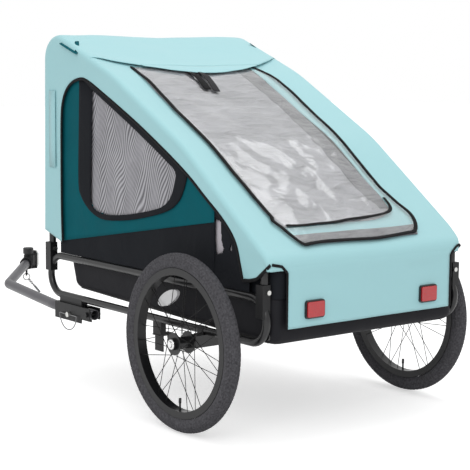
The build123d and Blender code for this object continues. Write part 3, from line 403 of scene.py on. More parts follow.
LINING = finish("pale_lining", (0.56, 0.53, 0.57), rough=0.7, specular=0.2)
SEAT = finish("seat_cloth", (0.045, 0.05, 0.055), rough=0.85, threads=1800, thread_bump=0.3, sheen=0.2,
              wrinkle=0.15)
TUBE = finish("black_powder_coat", (0.009, 0.009, 0.010), rough=0.30, coat=0.15, grain_scale=900,
              grain_bump=0.05, specular=0.4)
PLATE = finish("black_bracket", (0.009, 0.009, 0.010), rough=0.42, grain_scale=700, grain_bump=0.08,
               specular=0.3)
BAR = finish("gunmetal_paint", (0.082, 0.080, 0.090), rough=0.38, metal=0.3, grain_scale=1200,
             grain_bump=0.04)
STEEL = finish("zinc_plated_steel", (0.62, 0.62, 0.60), rough=0.3, metal=1.0, mottle_scale=40)
ALLOY = finish("satin_alloy", (0.58, 0.59, 0.60), rough=0.35, metal=1.0, mottle_scale=30)
CHROME = finish("polished_cap", (0.80, 0.80, 0.80), rough=0.12, metal=1.0, rough_spread=0.03)
# painted light and shade: the tyre's fine mottle, light to nearly black at about a knob's size, stands for
# lit knob tops and shaded grooves, scattered at random
RUBBER = finish("tyre_rubber", (0.135, 0.132, 0.145), rough=0.8, second=(0.004, 0.004, 0.005),
                mottle_scale=170, grain_scale=300, grain_bump=0.5, specular=0.2)
RIM = finish("black_rim", (0.010, 0.010, 0.011), rough=0.3, specular=0.35)
SPOKE = finish("black_spokes", (0.004, 0.004, 0.004), rough=0.4, specular=0.2)
HUB = finish("hub_shell", (0.012, 0.012, 0.013), rough=0.32, metal=0.2)
WIRE = finish("ring_wire", (0.20, 0.20, 0.205), rough=0.35, metal=0.6)
PLASTIC = finish("black_plastic", (0.011, 0.011, 0.012), rough=0.45, grain_scale=600)
BOARD = finish("floor_board", (0.03, 0.03, 0.03), rough=0.7, grain_scale=200, grain_bump=0.3)
RED_BUTTON = finish("red_button", (0.45, 0.012, 0.012), rough=0.3, coat=0.4)
print("finishes", len(bpy.data.materials))

# %% [markdown]
# Three kinds of finish need more than the common tree. The lenses carry small cells, drawn as a Voronoi
# bump under a clear coat. Net is two tones mixed by slanting folds and finer creases, from the same noise
# that bumps it: the dark tone is painted shade in the creases and the light tone is painted light on the
# folds. The side windows add one strongly bent wave, for the soft rings that layered net shows. The clear
# sheet mixes a transparent shader with a glossy one by how edge-on it is seen, so it shows mostly where it
# catches the light.

# %%
def lens_finish(name, colour, cell, coat):
    material = finish(name, colour, rough=0.2, coat=coat, mottle_scale=60)
    tree = material.node_tree
    cells = add_node(tree, "TexVoronoi", {"Vector": object_place(tree), "Scale": cell}).outputs["Distance"]
    fill(tree, tree.nodes["Principled BSDF"], {"Normal": bump(tree, cells, 0.6, 0.001),
                                               "Coat Roughness": 0.05})
    return material


def net_finish(name, light, dark, wrinkle, rings=None):
    """Net of two tones: painted shade in its creases, painted light on its folds. rings is the scale and the
    distortion of the wave across it.
    """
    material, tree, shader = new_material(name)
    place = object_place(tree)
    slanted = {"Vector": place, "Rotation": (0, 0, 0.5), "Scale": (0.6, 2.2, 1.0)}
    slant = add_node(tree, "Mapping", slanted).outputs["Vector"]
    folds, creases = cloud(tree, slant, 6.0, 3, 0.5), cloud(tree, slant, 15.0, 4, 1.6)
    fold_and_crease_shade = math_node(tree, "ADD", math_node(tree, "MULTIPLY", folds, 0.9),
                     math_node(tree, "MULTIPLY", creases, 0.9))
    # painted shade and light: the fold and crease noise darkens the creases and lightens the folds, and the
    # side nets mix in their ring wave
    painted_shade = math_node(tree, "SUBTRACT", fold_and_crease_shade, 0.4)
    if rings:
        lean = add_node(tree, "Mapping", {"Vector": place, "Scale": (0.0, 1.5, 0.7)}).outputs["Vector"]
        bent = {"Vector": lean, "Scale": rings[0], "Distortion": rings[1], "Detail": 0.0, "Detail Scale": 0.2}
        wave = add_node(tree, "TexWave", bent, bands_direction="DIAGONAL").outputs["Fac"]
        soft = math_node(tree, "MULTIPLY", wave, 0.7)
        painted_shade = math_node(tree, "ADD", math_node(tree, "MULTIPLY", painted_shade, 0.3), soft)
    normal = bump(tree, creases, wrinkle, 0.014, bump(tree, folds, wrinkle, 0.02))
    fill(tree, shader, {"Roughness": 0.55, "Sheen Weight": 0.15, "Normal": normal,
                        "Base Color": two_tones(tree, painted_shade, dark, light)})
    return material


def clear_finish(name):
    material, tree, shader = new_material(name)
    tree.nodes.remove(shader)
    normal = bump(tree, cloud(tree, object_place(tree), 9.0, 2, 0.6), 0.45, 0.012)
    shine = add_node(tree, "BsdfGlossy", {"Color": (1, 1, 1, 1), "Roughness": 0.15, "Normal": normal})
    through = add_node(tree, "BsdfTransparent", {"Color": (0.98, 0.99, 0.99, 1)})
    edge_on = add_node(tree, "LayerWeight", {"Blend": 0.5, "Normal": normal}).outputs["Facing"]
    glance = math_node(tree, "MULTIPLY", math_node(tree, "POWER", edge_on, 3.0), 0.24)
    share = math_node(tree, "ADD", glance, 0.08)
    mix = add_node(tree, "MixShader", {0: share, 1: through.outputs[0], 2: shine.outputs[0]})
    tree.links.new(mix.outputs[0], tree.nodes["Material Output"].inputs["Surface"])
    return material


RED_LENS = lens_finish("red_lens", (0.50, 0.016, 0.022), 260, 0.35)
WHITE_LENS = lens_finish("white_lens", (0.52, 0.52, 0.53), 320, 1.0)
SIDE_NET = net_finish("side_net", (0.50, 0.495, 0.53), (0.012, 0.011, 0.018), 0.10, rings=(42, 21.0))
DARK_NET = net_finish("dark_net", (0.25, 0.24, 0.26), (0.02, 0.019, 0.024), 1.0)
FLAP_NET = net_finish("flap_net", (0.56, 0.54, 0.575), (0.13, 0.124, 0.14), 1.0)
CLEAR = clear_finish("clear_sheet")
print("finishes", len(bpy.data.materials))

# %% [markdown]
# ## Dressing the hard parts
# Every hard part keeps its exact shape and takes one finish. The table reads like a paint list.

# %%
PAINT = {
    TUBE: ("left_base_loop", "right_base_loop", "cross_tubes", "axle_beam", "left_hoop", "right_hoop"),
    PLATE: ("hinge_brackets", "axle_clamps", "tow_bracket", "storage_clip", "hitch_socket", "hitch_yoke",
            "tow_pivot_bolt"),
    STEEL: ("hinge_bolts", "axle_stubs", "lock_plunger", "axle_plate", "elbow_pin"),
    WIRE: ("lock_ring", "strap_ring", "chain_links", "hitch_pin"),
    ALLOY: ("left_spreader_link", "right_spreader_link"),
    BAR: ("tow_bar",),
    PLASTIC: ("swivel_pin", "reflector_housings", "left_buckle", "right_buckle"),
    BOARD: ("floor_panel",),
    RED_LENS: ("reflector_lenses",),
    RED_BUTTON: ("left_buckle_button", "right_buckle_button"),
    WHITE_LENS: ("left_spoke_reflector", "right_spoke_reflector"),
    RIM: ("left_rim", "right_rim"),
    SPOKE: ("left_spokes", "right_spokes"),
    HUB: ("left_hub", "right_hub"),
    CHROME: ("left_release_button", "right_release_button"),
    WEBBING: ("safety_strap", "harness_straps", "roll_up_straps"),
    TUB_CLOTH: ("tub",),
    SEAT: ("seat_cushion", "seat_back"),
    COVER: ("canopy_cover",),
    PANEL: ("left_side_panel", "right_side_panel"),
    SIDE_NET: ("left_window_mesh", "right_window_mesh"),
    FLAP_NET: ("window_flap",),
    RUBBER: ("left_tyre", "right_tyre"),
}
for material, names in PAINT.items():
    for name in names:
        node = frame["nodes"][name]
        node.data.materials.clear()
        node.data.materials.append(material)
        for polygon in node.data.polygons:
            polygon.material_index = 0
unpainted = sorted(set(frame["nodes"]) - {n for names in PAINT.values() for n in names})
print("unpainted nodes:", unpainted)

# %% [markdown]
# ## The cover
# The cover is one sheet pulled over two bent tubes. Seen from the side its edge is the "ridge". Each row of
# the grid crosses from the left hem, up the side, round the tube, over the slope and down again. The side
# hem follows the big side opening, and a table says which place on the ridge pulls on which place on the
# hem.

# %%
HALF = 371.0        # the cover's half width
ROLL = 14.0         # rounding over the side tubes
FLAT = HALF - ROLL
ARC = ROLL * math.pi / 2
SIDE_DROP = 100     # columns of the grid are marked out as if each side hung this far down
REAR_X = -300       # the cover's rear face, from the axle
ridge = Run(rounded([(REAR_X, 478), (REAR_X, 508), (88, 791), (441, 981), (822, 1128), (832, 478)],
                    [46, 700, 700, 75], 14))
opening = Run(eased([(-187, 443), (-173, 488), (-159, 530), (-133, 566), (-83, 608), (-21, 650), (42, 694),
                     (112, 736), (209, 788), (297, 833), (401, 882), (508, 930), (566, 954), (606, 962),
                     (654, 951), (690, 926), (712, 888), (720, 838), (722, 718), (722, 557), (718, 447)]))
notch = Run([(REAR_X, 496), (-272, 474), (-245, 453), (-214, 445), (-187, 443)])

HEM_PAIRS = (((-190, 588), (-165, 545)), ((40, 756), (89, 722)), ((330, 922), (381, 875)),
             ((560, 1027), (590, 959)), ((790, 1110), (690, 926)), ((826, 960), (720, 838)))
TURN = ridge.nearest((-236, 556))
HEM_TABLE = [(TURN, 0.0), *((ridge.nearest(a), opening.nearest(b)) for a, b in HEM_PAIRS),
             (ridge.length, opening.length)]


def hem_of(s):
    """Where the side's lower edge lies, for a place s along the ridge."""
    if s < TURN:
        return notch.point(notch.length * s / TURN)
    return opening.point(blend_map(HEM_TABLE, s))


def tuck(side, s):
    """How far the low right corner is drawn in, where the cloth is pulled under the crease."""
    return 20 * (1 - s / TURN) ** 1.5 if side > 0 and s < TURN else 0.0


def cover_point(s, across, lift=0.0):
    """A point on the cover: s along the ridge, "across" in millimetres of cloth from the middle line."""
    edge, n = ridge.point(s), ridge.normal(s)
    side = 1 if across >= 0 else -1
    reach = abs(across)
    if reach <= FLAT:
        share = reach / FLAT
        sag = 5.0 * (1 - share ** 2) * min(1, s / 250)
        loose = min(1, (1 - share) * 5)
        at = (side * reach, edge.x, edge.y)
        calm = min(1, max(0, (s - 20) / 80))
        depth = sag - calm * loose * (ripple(at, 210, 3.4, 3.1) + ripple(at, 75, 1.2, 7.7)) - lift
        p = edge - n * depth
        return spot(side * (reach - tuck(side, s) * max(0, (reach - 290) / 67)), p.x, p.y)
    if reach <= FLAT + ARC:
        a = (reach - FLAT) / ROLL
        p = edge - n * ((1 - math.cos(a)) * (ROLL + lift) - lift)
        return spot(side * (FLAT + (ROLL + lift) * math.sin(a) - tuck(side, s)), p.x, p.y)
    t = min((reach - FLAT - ARC) / SIDE_DROP, 1.0)
    start, hem = edge - n * ROLL, hem_of(s)
    p = Vector(start).lerp(hem, t)
    give = math.sin(math.pi * t) * (ripple((p.x, p.y), 120, 2.4, 5.5) - 1.0) - t * 1.5
    return spot(side * (HALF + lift + give - tuck(side, s)), p.x, p.y)


def column_marks():
    half = [0, 12, 24, 36, 50, 64, 80, 96, 112, 128, 144, 160, 176, 192, 208, 224, 236, 244, 252, 264, 278,
            292, 306, 320, 334, 346, FLAT]
    half += [FLAT + ARC * k / 5 for k in range(1, 6)]
    half += [FLAT + ARC + SIDE_DROP * k / 10 for k in range(1, 11)]
    return [-v for v in reversed(half[1:])] + half


columns = column_marks()
window_marks = ridge.nearest((-176, 597)), ridge.nearest((486, 998))
HOLE_SIDES = (-244, 192)
marks = sorted({round(ridge.length * k / 200, 1) for k in range(201)} | set(window_marks))
marks = [m for m in marks if m in window_marks or min(abs(m - w) for w in window_marks) > 4]


def not_window(i, j):
    along = window_marks[0] <= marks[i] and marks[i + 1] <= window_marks[1]
    return not (along and HOLE_SIDES[0] <= columns[j] and columns[j + 1] <= HOLE_SIDES[1])


rows = [[cover_point(s, c) for c in columns] for s in marks]
COVER_CLOTH = 2.2
hood = settle(grid("cover_hood", rows, COVER, COVER_CLOTH, not_window))
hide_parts("canopy_cover")
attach(hood, "chassis")
print("cover", len(hood.data.vertices), "vertices")

# %% [markdown]
# The roof is a second layer of cloth, with a hem that dips over the flap. The hem lifts with the flap, so
# the layer is cut in two along the flap's hinge line. The rear panel hangs below the crease as a flat
# apron, narrower than the slope, and is a piece of its own.

# %%
REAR_TOP, REAR_HEM = 500, 320
REAR_HALF = 311
rear_rows = []
for k in range(21):
    z = REAR_TOP - (REAR_TOP - REAR_HEM) * k / 20
    wide = REAR_HALF + (1 - min(1, (REAR_TOP - z) / 26)) * 30
    row = []
    for m in range(41):
        x = wide * (m / 20 - 1)
        room = min(1, (1 - abs(m / 20 - 1)) * 6) * min(1, k / 6)
        puff = (min(ripple((x, z), 130, 5.0, 1.3), 2.2) + ripple((x * 0.5, z), 60, 1.6, 5.2)) * room
        puff = max(puff, -6.0 * max(0, 466 - z) / 60)
        under_crease = 5.2 * (max(0, z - 476) / 24) ** 2
        row.append(spot(x, REAR_X - 0.8 + under_crease - puff, z))
    rear_rows.append(row)
rear = settle(grid("cover_rear_panel", rear_rows, COVER, COVER_CLOTH, offset=1.0))
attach(rear, "chassis")

ROOF_CLOTH = 1.6
ROOF_LIFT = ((0, 10.0), (0.25, 4.6), (0.9, 4.6), (1, 2.0))          # from the hem to the front corner
ROOF_SIDE_LIFT = ((0, 1.0), (250, 1.0), (340, 0.6), (HALF, -0.1))   # from the middle line to the side
SLOPE_RISE = 0.386
hem_marks = []
for c in columns:
    hem_ahead = 440 + 114 * (min(abs(c), FLAT) / 350) ** 2
    hem_marks.append(ridge.nearest((hem_ahead, 981 + (hem_ahead - 441) * SLOPE_RISE)))
roof_end = ridge.nearest((770, 1105))
roof_columns = [(c, h) for c, h in zip(columns, hem_marks) if abs(c) <= HALF]
hinge_mark = ridge.nearest((492, 1000.6))


def roof_point(mark, start, c):
    t = (mark - start) / (roof_end - start)
    return cover_point(mark, c, blend_map(ROOF_LIFT, t) * blend_map(ROOF_SIDE_LIFT, abs(c)))


roof_rows = []
for k in range(25):
    roof_rows.append([roof_point(max(h, hinge_mark) + (roof_end - max(h, hinge_mark)) * k / 24, h, c)
                      for c, h in roof_columns])
roof = settle(grid("cover_roof_layer", roof_rows, COVER, ROOF_CLOTH))
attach(roof, "chassis")
hem_rows = [[roof_point(h + (hinge_mark - h) * k / 8, h, c) for c, h in roof_columns if h < hinge_mark - 2]
            for k in range(9)]
roof_hem = settle(grid("cover_roof_hem", hem_rows, COVER, ROOF_CLOTH))
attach(roof_hem, "flap")

# %% [markdown]
# ## Binding
# Raw edges of coated cloth are wrapped in black tape. The tape is a flattened tube swept round each
# opening. It is what gives the cover its drawn outline, so it is kept to an even width.

# %%
BINDING_X = HALF - 1.2
for side, sign in SIDES:
    path = [spot(sign * BINDING_X, p.x, p.y) for p in
            [opening.point(opening.length - opening.length * k / 150) for k in range(151)]]
    for k in range(1, 17):
        p = notch.point(notch.length * (1 - k / 16))
        path.append(spot(sign * (BINDING_X - tuck(sign, TURN * (1 - k / 16))), p.x, p.y))
    tape = band(f"{side}_opening_binding", path, 10, 4.6, Vector((sign, 0, 0)), BINDING)
    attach(tape, "chassis")
    path = [spot(sign * (363 - tuck(sign, 0)), REAR_X - 1, 497), spot(sign * 330, REAR_X - 1.5, 490),
            spot(sign * 314, REAR_X - 1.5, 474)]
    path += [spot(sign * REAR_HALF, REAR_X - 1.5, 470 - 150 * k / 20) for k in range(21)]
    tape = band(f"{side}_rear_binding", path, 8, 4.2, Vector((0, -1, 0)), BINDING)
    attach(tape, "chassis")
print("bindings done")

# %% [markdown]
# ## The window flap
# The flap has layers. Grey net lies loosely over the hole, with a darker fold along its right edge and a
# strip below, a clear rain sheet lies over the net, and black tape binds the edges. The net gets real waves
# in its mesh, because its creases cast the soft shadows that a bump can't. The flap's edges are tables of
# (ahead, x).

# %%
def on_slope(x, ahead, lift):
    """A point over the slope, by its place ahead of the axle."""
    best = min(slope_marks, key=lambda mark: abs(mark[0] - ahead))[1]
    lo, hi = best - SLOPE_STEP, best + SLOPE_STEP
    for _ in range(12):
        mid = (lo + hi) / 2
        if ridge.point(mid).x < ahead:
            lo = mid
        else:
            hi = mid
    return cover_point((lo + hi) / 2, x, lift)


SLOPE_STEP = 6
slope_marks = [(ridge.point(s).x, s) for s in range(20, int(ridge.nearest((800, 1112))), SLOPE_STEP)]
FLAP_TOP = 491
LEFT_EDGE = ((-268, -238), (-214, -250), (-146, -269), (-72, -266), (54, -275), (189, -278), (342, -278),
             (499, -262))
NET_RIGHT = ((-205, 96), (-199, 130), (-192, 156), (-183, 172), (-170, 182), (-131, 190), (-42, 182),
             (80, 172), (267, 184), (499, 182))
OUTER_RIGHT = ((-268, 205), (-227, 228), (-194, 238), (-163, 229), (-103, 212), (77, 215), (221, 228),
               (342, 236), (434, 229), (499, 204))
LOW_LEFT = ((-270, -228), (-232, -235))
LOW_RIGHT = ((-270, 205), (-232, 228))
UNDER_ROOF = ((REAR_X, 1.0), (395, 1.0), (445, 0.35), (520, 0.3))
OFF_SLOPE = Vector((0, -0.5, 0.86))     # square to the slope


def under(ahead):
    """The flap's layers lie flatter where they run in under the roof layer."""
    return blend_map(UNDER_ROOF, ahead)


def slope_sheet(name, left, right, ahead_range, lift, waves, material, thickness, steps=(34, 60)):
    """A sheet over the slope between two side edges, each a table of (ahead, x)."""
    rows = []
    for i in range(steps[1] + 1):
        ahead = ahead_range[0] + (ahead_range[1] - ahead_range[0]) * i / steps[1]
        x0, x1 = blend_map(left, ahead), blend_map(right, ahead)
        row = []
        for j in range(steps[0] + 1):
            x = x0 + (x1 - x0) * j / steps[0]
            edge = min(1, 8 * min(j, steps[0] - j) / steps[0], 12 * min(i, steps[1] - i) / steps[1])
            fold = ripple((x * 1.4 + ahead * 0.5, ahead), 95, waves, 2.2)
            fold += ripple((x, ahead), 38, waves * 0.5, 9.1)
            row.append(on_slope(x, ahead, (lift + (fold + waves * 0.4) * edge) * under(ahead)))
        rows.append(row)
    return settle(grid(name, rows, material, thickness))


def moved(table, step):
    return tuple((ahead, x + step) for ahead, x in table)


net = slope_sheet("flap_net_layer", LEFT_EDGE, NET_RIGHT, (-205, FLAP_TOP), 3.0, 4.2, FLAP_NET, 0.8, (46, 80))
fold = slope_sheet("flap_net_fold", moved(NET_RIGHT, -62), moved(NET_RIGHT, -1), (-172, FLAP_TOP), 5.2, 3.0,
                   DARK_NET, 0.6, (14, 70))
strip = slope_sheet("flap_low_strip", LOW_LEFT, LOW_RIGHT, (-266, -233), 3.2, 2.0, DARK_NET, 0.8, (60, 8))
clear = slope_sheet("flap_clear_sheet", LEFT_EDGE, OUTER_RIGHT, (-264, FLAP_TOP), 8.0, 3.4, CLEAR, 0.5,
                    (40, 70))
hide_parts("window_flap")
places = [(-262 - 16 * math.sin(math.pi * k / 60), FLAP_TOP - 677 * k / 60) for k in range(60)]
places += [(-269, -186), (-258, -206), (-250, -232), (-238, -256), (-226, -268)]
places += [(-226 + 420 * k / 30, -268 + 3 * math.sin(k / 4) + 5 * k / 30) for k in range(1, 31)]
places += [(212, -250), (228, -232), (238, -210), (237, -188), (228, -163)]
places += [(blend_map(OUTER_RIGHT, -150 + 641 * k / 50), -150 + 641 * k / 50) for k in range(51)]
outline = [on_slope(p.x, p.y, 7.5 * under(p.y)) for p in eased(places, 2)]
edge_tape = band("flap_edge_binding", outline, 13, 5.0, OFF_SLOPE, BINDING)
places = [(-238, -206), (-180, -210), (-120, -208), (-60, -207), (0, -202), (60, -199), (110, -196),
          (150, -191), (176, -182), (188, -166), (190, -140)]
inner = [on_slope(p.x, p.y, 10.0) for p in eased(places, 5)]
net_tape = band("flap_net_binding", inner, 11, 3.0, OFF_SLOPE, BINDING)
for slot_name, pieces in (("window_mesh", (net, fold, strip, clear)), ("black_cloth", (edge_tape, net_tape))):
    for piece in pieces:
        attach(piece, "flap")

STRAP_TOP = 466
strap_specs = (("roll_up_strap_a", -74, -12, WEBBING, 122, 12.0),
               ("roll_up_strap_b", -34, -26, GREY_WEB, 134, 13.5))
for name, x, drift, material, length, lift in strap_specs:
    path = []
    for k in range(25):
        t = k / 24
        rise = (lift + 5 * math.sin(math.pi * t) + 1.2 * math.sin(9 * t)) * min(1, 0.2 + t * 1.8)
        path.append(on_slope(x + drift * t, STRAP_TOP - length * t, rise))
    strap = band(name, path, 24, 2.4, OFF_SLOPE, material)
    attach(strap, "flap")
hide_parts("roll_up_straps")
print("flap layers done")

# %% [markdown]
# ## Side panels
# The panels hang inside the tubes, set back from the cover's edge, so the opening reads as deep. Each is
# teal above and black below, split on a slanting line, with a window of net in a wide black border.

# %%
NET_SHAPE = eased([(551, 930), (556, 765), (560, 610), (549, 573), (507, 560), (452, 558), (357, 569),
                   (252, 589), (189, 606), (151, 632), (132, 666), (122, 702), (134, 720), (161, 735),
                   (222, 768), (349, 833), (482, 897)], 3)
BORDER_SHAPE = eased([(622, 975), (627, 801), (630, 644), (616, 603), (585, 574), (543, 552), (480, 541),
                      (358, 552), (240, 575), (158, 598), (115, 622), (90, 651), (70, 700), (70, 735),
                      (110, 755), (330, 875), (500, 950)], 3)
WINDOW = [(p.x, p.y) for p in [a.lerp(b, 0.45) for a, b in zip(NET_SHAPE, BORDER_SHAPE)]]
PANEL_TOP = ((-50, 640), (90, 744), (440, 935), (705, 1037), (745, 1012))
PANE_REAR, PANE_FRONT, PANE_X = 112, 570, 359.6
PANE_LOW = ((112, 640), (190, 588), (360, 553), (570, 548))
PANEL_REAR, PANEL_FRONT, PANEL_LOW, PANEL_X = -50, 745, 412, 361
PANEL_CLOTH, BORDER_X, BORDER_CLOTH = 1.6, 365.4, 1.4


def split_height(y):
    """Where the teal cloth meets the black."""
    return 453 + (721 - y) * 0.171


for side, sign in SIDES:
    for part, material, slot_name in (("upper", PANEL, "panel_cloth"), ("lower", BLACK_CLOTH, "black_cloth")):
        places = []
        for i in range(56):
            y = PANEL_REAR + (PANEL_FRONT - PANEL_REAR) * i / 55
            z0, z1 = PANEL_LOW, split_height(y) + 3
            if part == "upper":
                z0, z1 = split_height(y), blend_map(PANEL_TOP, y)
            places.append([(y, z0 + (z1 - z0) * j / 40) for j in range(41)])
        rows = []
        for i, line in enumerate(places):
            ease = min(1, i / 4, (55 - i) / 4)
            row = []
            for y, z in line:
                wave = (ripple((y, z), 110, 2.4, 4.4) + ripple((y, z), 45, 0.6, 6.0)) * ease
                row.append(spot(sign * (PANEL_X + wave - (1.5 if part == "lower" else 0)), y, z))
            rows.append(row)

        def outside(i, j):
            y = (places[i][j][0] + places[i + 1][j][0]) / 2
            z = (places[i][j][1] + places[i][j + 1][1]) / 2
            return not inside(WINDOW, y, z)

        panel = settle(grid(f"{side}_panel_{part}", rows, material, PANEL_CLOTH, outside, offset=0.0))
        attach(panel, "chassis")
        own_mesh(panel)
        if part == "upper":
            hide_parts(f"{side}_side_panel")
    rows = []
    for share in range(7):
        row = []
        for p, q in zip([*NET_SHAPE, NET_SHAPE[0]], [*BORDER_SHAPE, BORDER_SHAPE[0]]):
            here = p.lerp(q, share / 6)
            top = blend_map(PANEL_TOP, here.x) + 6
            raised = BORDER_X + 0.8 * math.sin(math.pi * share / 6)
            row.append(spot(sign * raised, here.x, min(here.y, top)))
        rows.append(row)
    tape = settle(grid(f"{side}_window_border", rows, BLACK_CLOTH, BORDER_CLOTH, offset=0.0))
    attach(tape, "chassis")
    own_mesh(tape)
    pane_rows = []
    for i in range(39):
        y = PANE_REAR + (PANE_FRONT - PANE_REAR) * i / 38
        low_edge, high_edge = blend_map(PANE_LOW, y), min(948, 722 + (y - PANE_REAR) * 0.53)
        row = []
        for j in range(33):
            z = low_edge + (high_edge - low_edge) * j / 32
            calm = min(1, i / 3, (38 - i) / 3, j / 3, (32 - j) / 3)
            row.append(spot(sign * (PANE_X + ripple((y, z), 90, 2.0, 8.8) * calm), y, z))
        pane_rows.append(row)
    pane = settle(grid(f"{side}_net_pane", pane_rows, SIDE_NET, 0.6, offset=0.0))
    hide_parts(f"{side}_window_mesh")
    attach(pane, "chassis")
    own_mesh(pane)

# %% [markdown]
# ## The tub
# The tub is a black bag with a flat floor that rises to the front. It is lofted from rings, each a rounded
# rectangle: straight sides, a rolled bottom edge, then rings that shrink across the floor. The walls bow
# out a little and carry a few slow dents.

# %%
def ring_points(half_width, rear, front, radius, z, count, dent=0.0):
    """Evenly spaced points round a rounded rectangle at one height, pushed in and out by slow dents."""
    corners = [(half_width - radius, front - radius, 0), (-half_width + radius, front - radius, 90),
               (-half_width + radius, rear + radius, 180), (half_width - radius, rear + radius, 270)]
    flat = []
    for cx, cy, start in corners:
        for k in range(9):
            a = math.radians(start + 90 * k / 8)
            flat.append((cx + radius * math.cos(a), cy + radius * math.sin(a)))
    run = Run([*flat, flat[0]])
    out = []
    for k in range(count):
        p = run.point(run.length * k / count)
        push = dent * (ripple((p.x, p.y, z), 130, 1.0, 2.9) + 0.3 * ripple((p.x, p.y, z), 50, 1.0, 4.9))
        way = Vector((p.x, p.y - (front + rear) / 2)).normalized()
        out.append(spot(p.x + way.x * push, p.y + way.y * push, z))
    return out


def loft(name, rings, material):
    """Quads between neighbouring rings, and one face across the last."""
    verts = [p for ring in rings for p in ring]
    n = len(rings[0])
    faces = []
    for r in range(len(rings) - 1):
        for k in range(n):
            faces.append([r * n + k, r * n + (k + 1) % n, (r + 1) * n + (k + 1) % n, (r + 1) * n + k])
    faces.append([(len(rings) - 1) * n + k for k in reversed(range(n))])
    return new_object(name, verts, faces, material)


TUB_HALF, TUB_REAR, TUB_FRONT, TUB_FOOT = 344, -286, 720, 692
TUB_TOP, TUB_ROLL_TOP, TUB_FLOOR = 404, 300, 274
TUB_ROLL, TUB_CORNER = 26, 24       # rounding of the bottom edge, and of the upright corners
RING_POINTS = 240
FLOOR_TILT = 29 / (TUB_FOOT - TUB_REAR)


def sloping(ring, share):
    """Tips a ring towards the floor's slope, by this share."""
    for p in ring:
        p.z += FLOOR_TILT * share * (p.y - AXLE_Y - TUB_REAR / 1000)
    return ring


def front_at(z):
    """The front wall leans back as it goes down."""
    return TUB_FRONT - (TUB_FRONT - TUB_FOOT) * (TUB_TOP - z) / 130


rings = []
for k in range(13):
    z = TUB_TOP - (TUB_TOP - TUB_ROLL_TOP) * k / 12
    bow = 3.0 * math.sin(math.pi * min(1, k / 12 + 0.15))
    ring = ring_points(TUB_HALF, TUB_REAR, front_at(z), TUB_CORNER, z, RING_POINTS, bow)
    rings.append(sloping(ring, k / 12))
for k in range(1, 7):
    a = math.pi / 2 * k / 6
    inset, z = TUB_ROLL * (1 - math.cos(a)), TUB_ROLL_TOP - TUB_ROLL * math.sin(a)
    ring = ring_points(TUB_HALF - inset, TUB_REAR + inset, front_at(z) - inset, TUB_CORNER - inset * 0.4, z,
                       RING_POINTS, 1.0)
    rings.append(sloping(ring, 1))
for inset in (60, 110, 170, 240, 300):
    ring = ring_points(TUB_HALF - inset, TUB_REAR + inset, TUB_FOOT - inset, 12, TUB_FLOOR, RING_POINTS)
    rings.append(sloping(ring, 1))
tub = loft("tub_bag", rings, TUB_CLOTH)
solid = tub.modifiers.new("cloth", "SOLIDIFY")
solid.thickness, solid.offset = 0.003, 1.0
tub = settle(tub)
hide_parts("tub")
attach(tub, "chassis")
rim_path = ring_points(TUB_HALF - 1, TUB_REAR + 1, TUB_FRONT - 1, TUB_CORNER, TUB_TOP + 1, 200)
tape = band("tub_top_binding", rim_path, 8, 5, Vector((0, 0, 1)), BINDING, closed=True)
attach(tape, "chassis")

# %% [markdown]
# Black gussets fill the rear corners, between the cover's notch and the tub, inboard of the tubes and their
# hinges. Ahead of each stands a web of black cloth with two slits, and a pale lining shows through them.

# %%
GUSSET_LINE = ((306, -291), (326, -290), (338, -284), (342.5, -270), (343, -250), (343, -225), (343, -205),
               (343, -186), (343, -150), (343, -110))
GUSSET_TOP = ((REAR_X, 512), (-262, 512), (-186, 560), (-110, 590))
GUSSET_LOW = 400
for side, sign in SIDES:
    rows = []
    for k in range(13):
        row = []
        for x, y in GUSSET_LINE:
            z = GUSSET_LOW + (blend_map(GUSSET_TOP, y) - GUSSET_LOW) * k / 12
            bow = ripple((x, y, z), 60, 3.0, 7.1) * min(1, k / 3)
            row.append(spot(sign * (x - abs(bow)), y, z))
        rows.append(row)
    gusset = settle(grid(f"{side}_rear_gusset", rows, BLACK_CLOTH, 1.6, offset=0.0, levels=1))
    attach(gusset, "chassis")
    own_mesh(gusset)

SLITS = ([(-50, 545), (-52, 600), (-76, 590), (-80, 540), (-90, 518), (-86, 506), (-56, 494)],
         [(-127, 540), (-114, 516), (-126, 514)])
WEB_FRONT, WEB_REAR, WEB_LOW, WEB_X = -26, -202, 410, 358.5
WEB_TOP = ((-205, 452), (-187, 470), (-160, 545), (-100, 606), (-30, 660), (-26, 663))
for side, sign in SIDES:
    rows, places = [], []
    for i in range(66):
        y = WEB_FRONT + (WEB_REAR - WEB_FRONT) * i / 65
        places.append([(y, WEB_LOW + (blend_map(WEB_TOP, y) - WEB_LOW) * j / 60) for j in range(61)])
        rows.append([spot(sign * (WEB_X + ripple((y, z), 50, 1.5, 3.9)), y, z) for _, z in places[-1]])

    def whole(i, j):
        y = (places[i][j][0] + places[i + 1][j][0]) / 2
        z = (places[i][j][1] + places[i][j + 1][1]) / 2
        return not any(inside(slit, y, z) for slit in SLITS)

    web = settle(grid(f"{side}_rear_web", rows, BLACK_CLOTH, BORDER_CLOTH, whole, offset=0.0))
    lining_rows = [[spot(sign * 352, y, z) for z in (480, 520, 560, 610)]
                   for y in (-36, -60, -84, -108, -132)]
    lining = settle(grid(f"{side}_pale_lining", lining_rows, LINING, 0.8, offset=0.0))
    for piece, name in ((web, "black_cloth"), (lining, "seat_cloth")):
        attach(piece, "chassis")
        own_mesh(piece)
print("tub and gussets done")
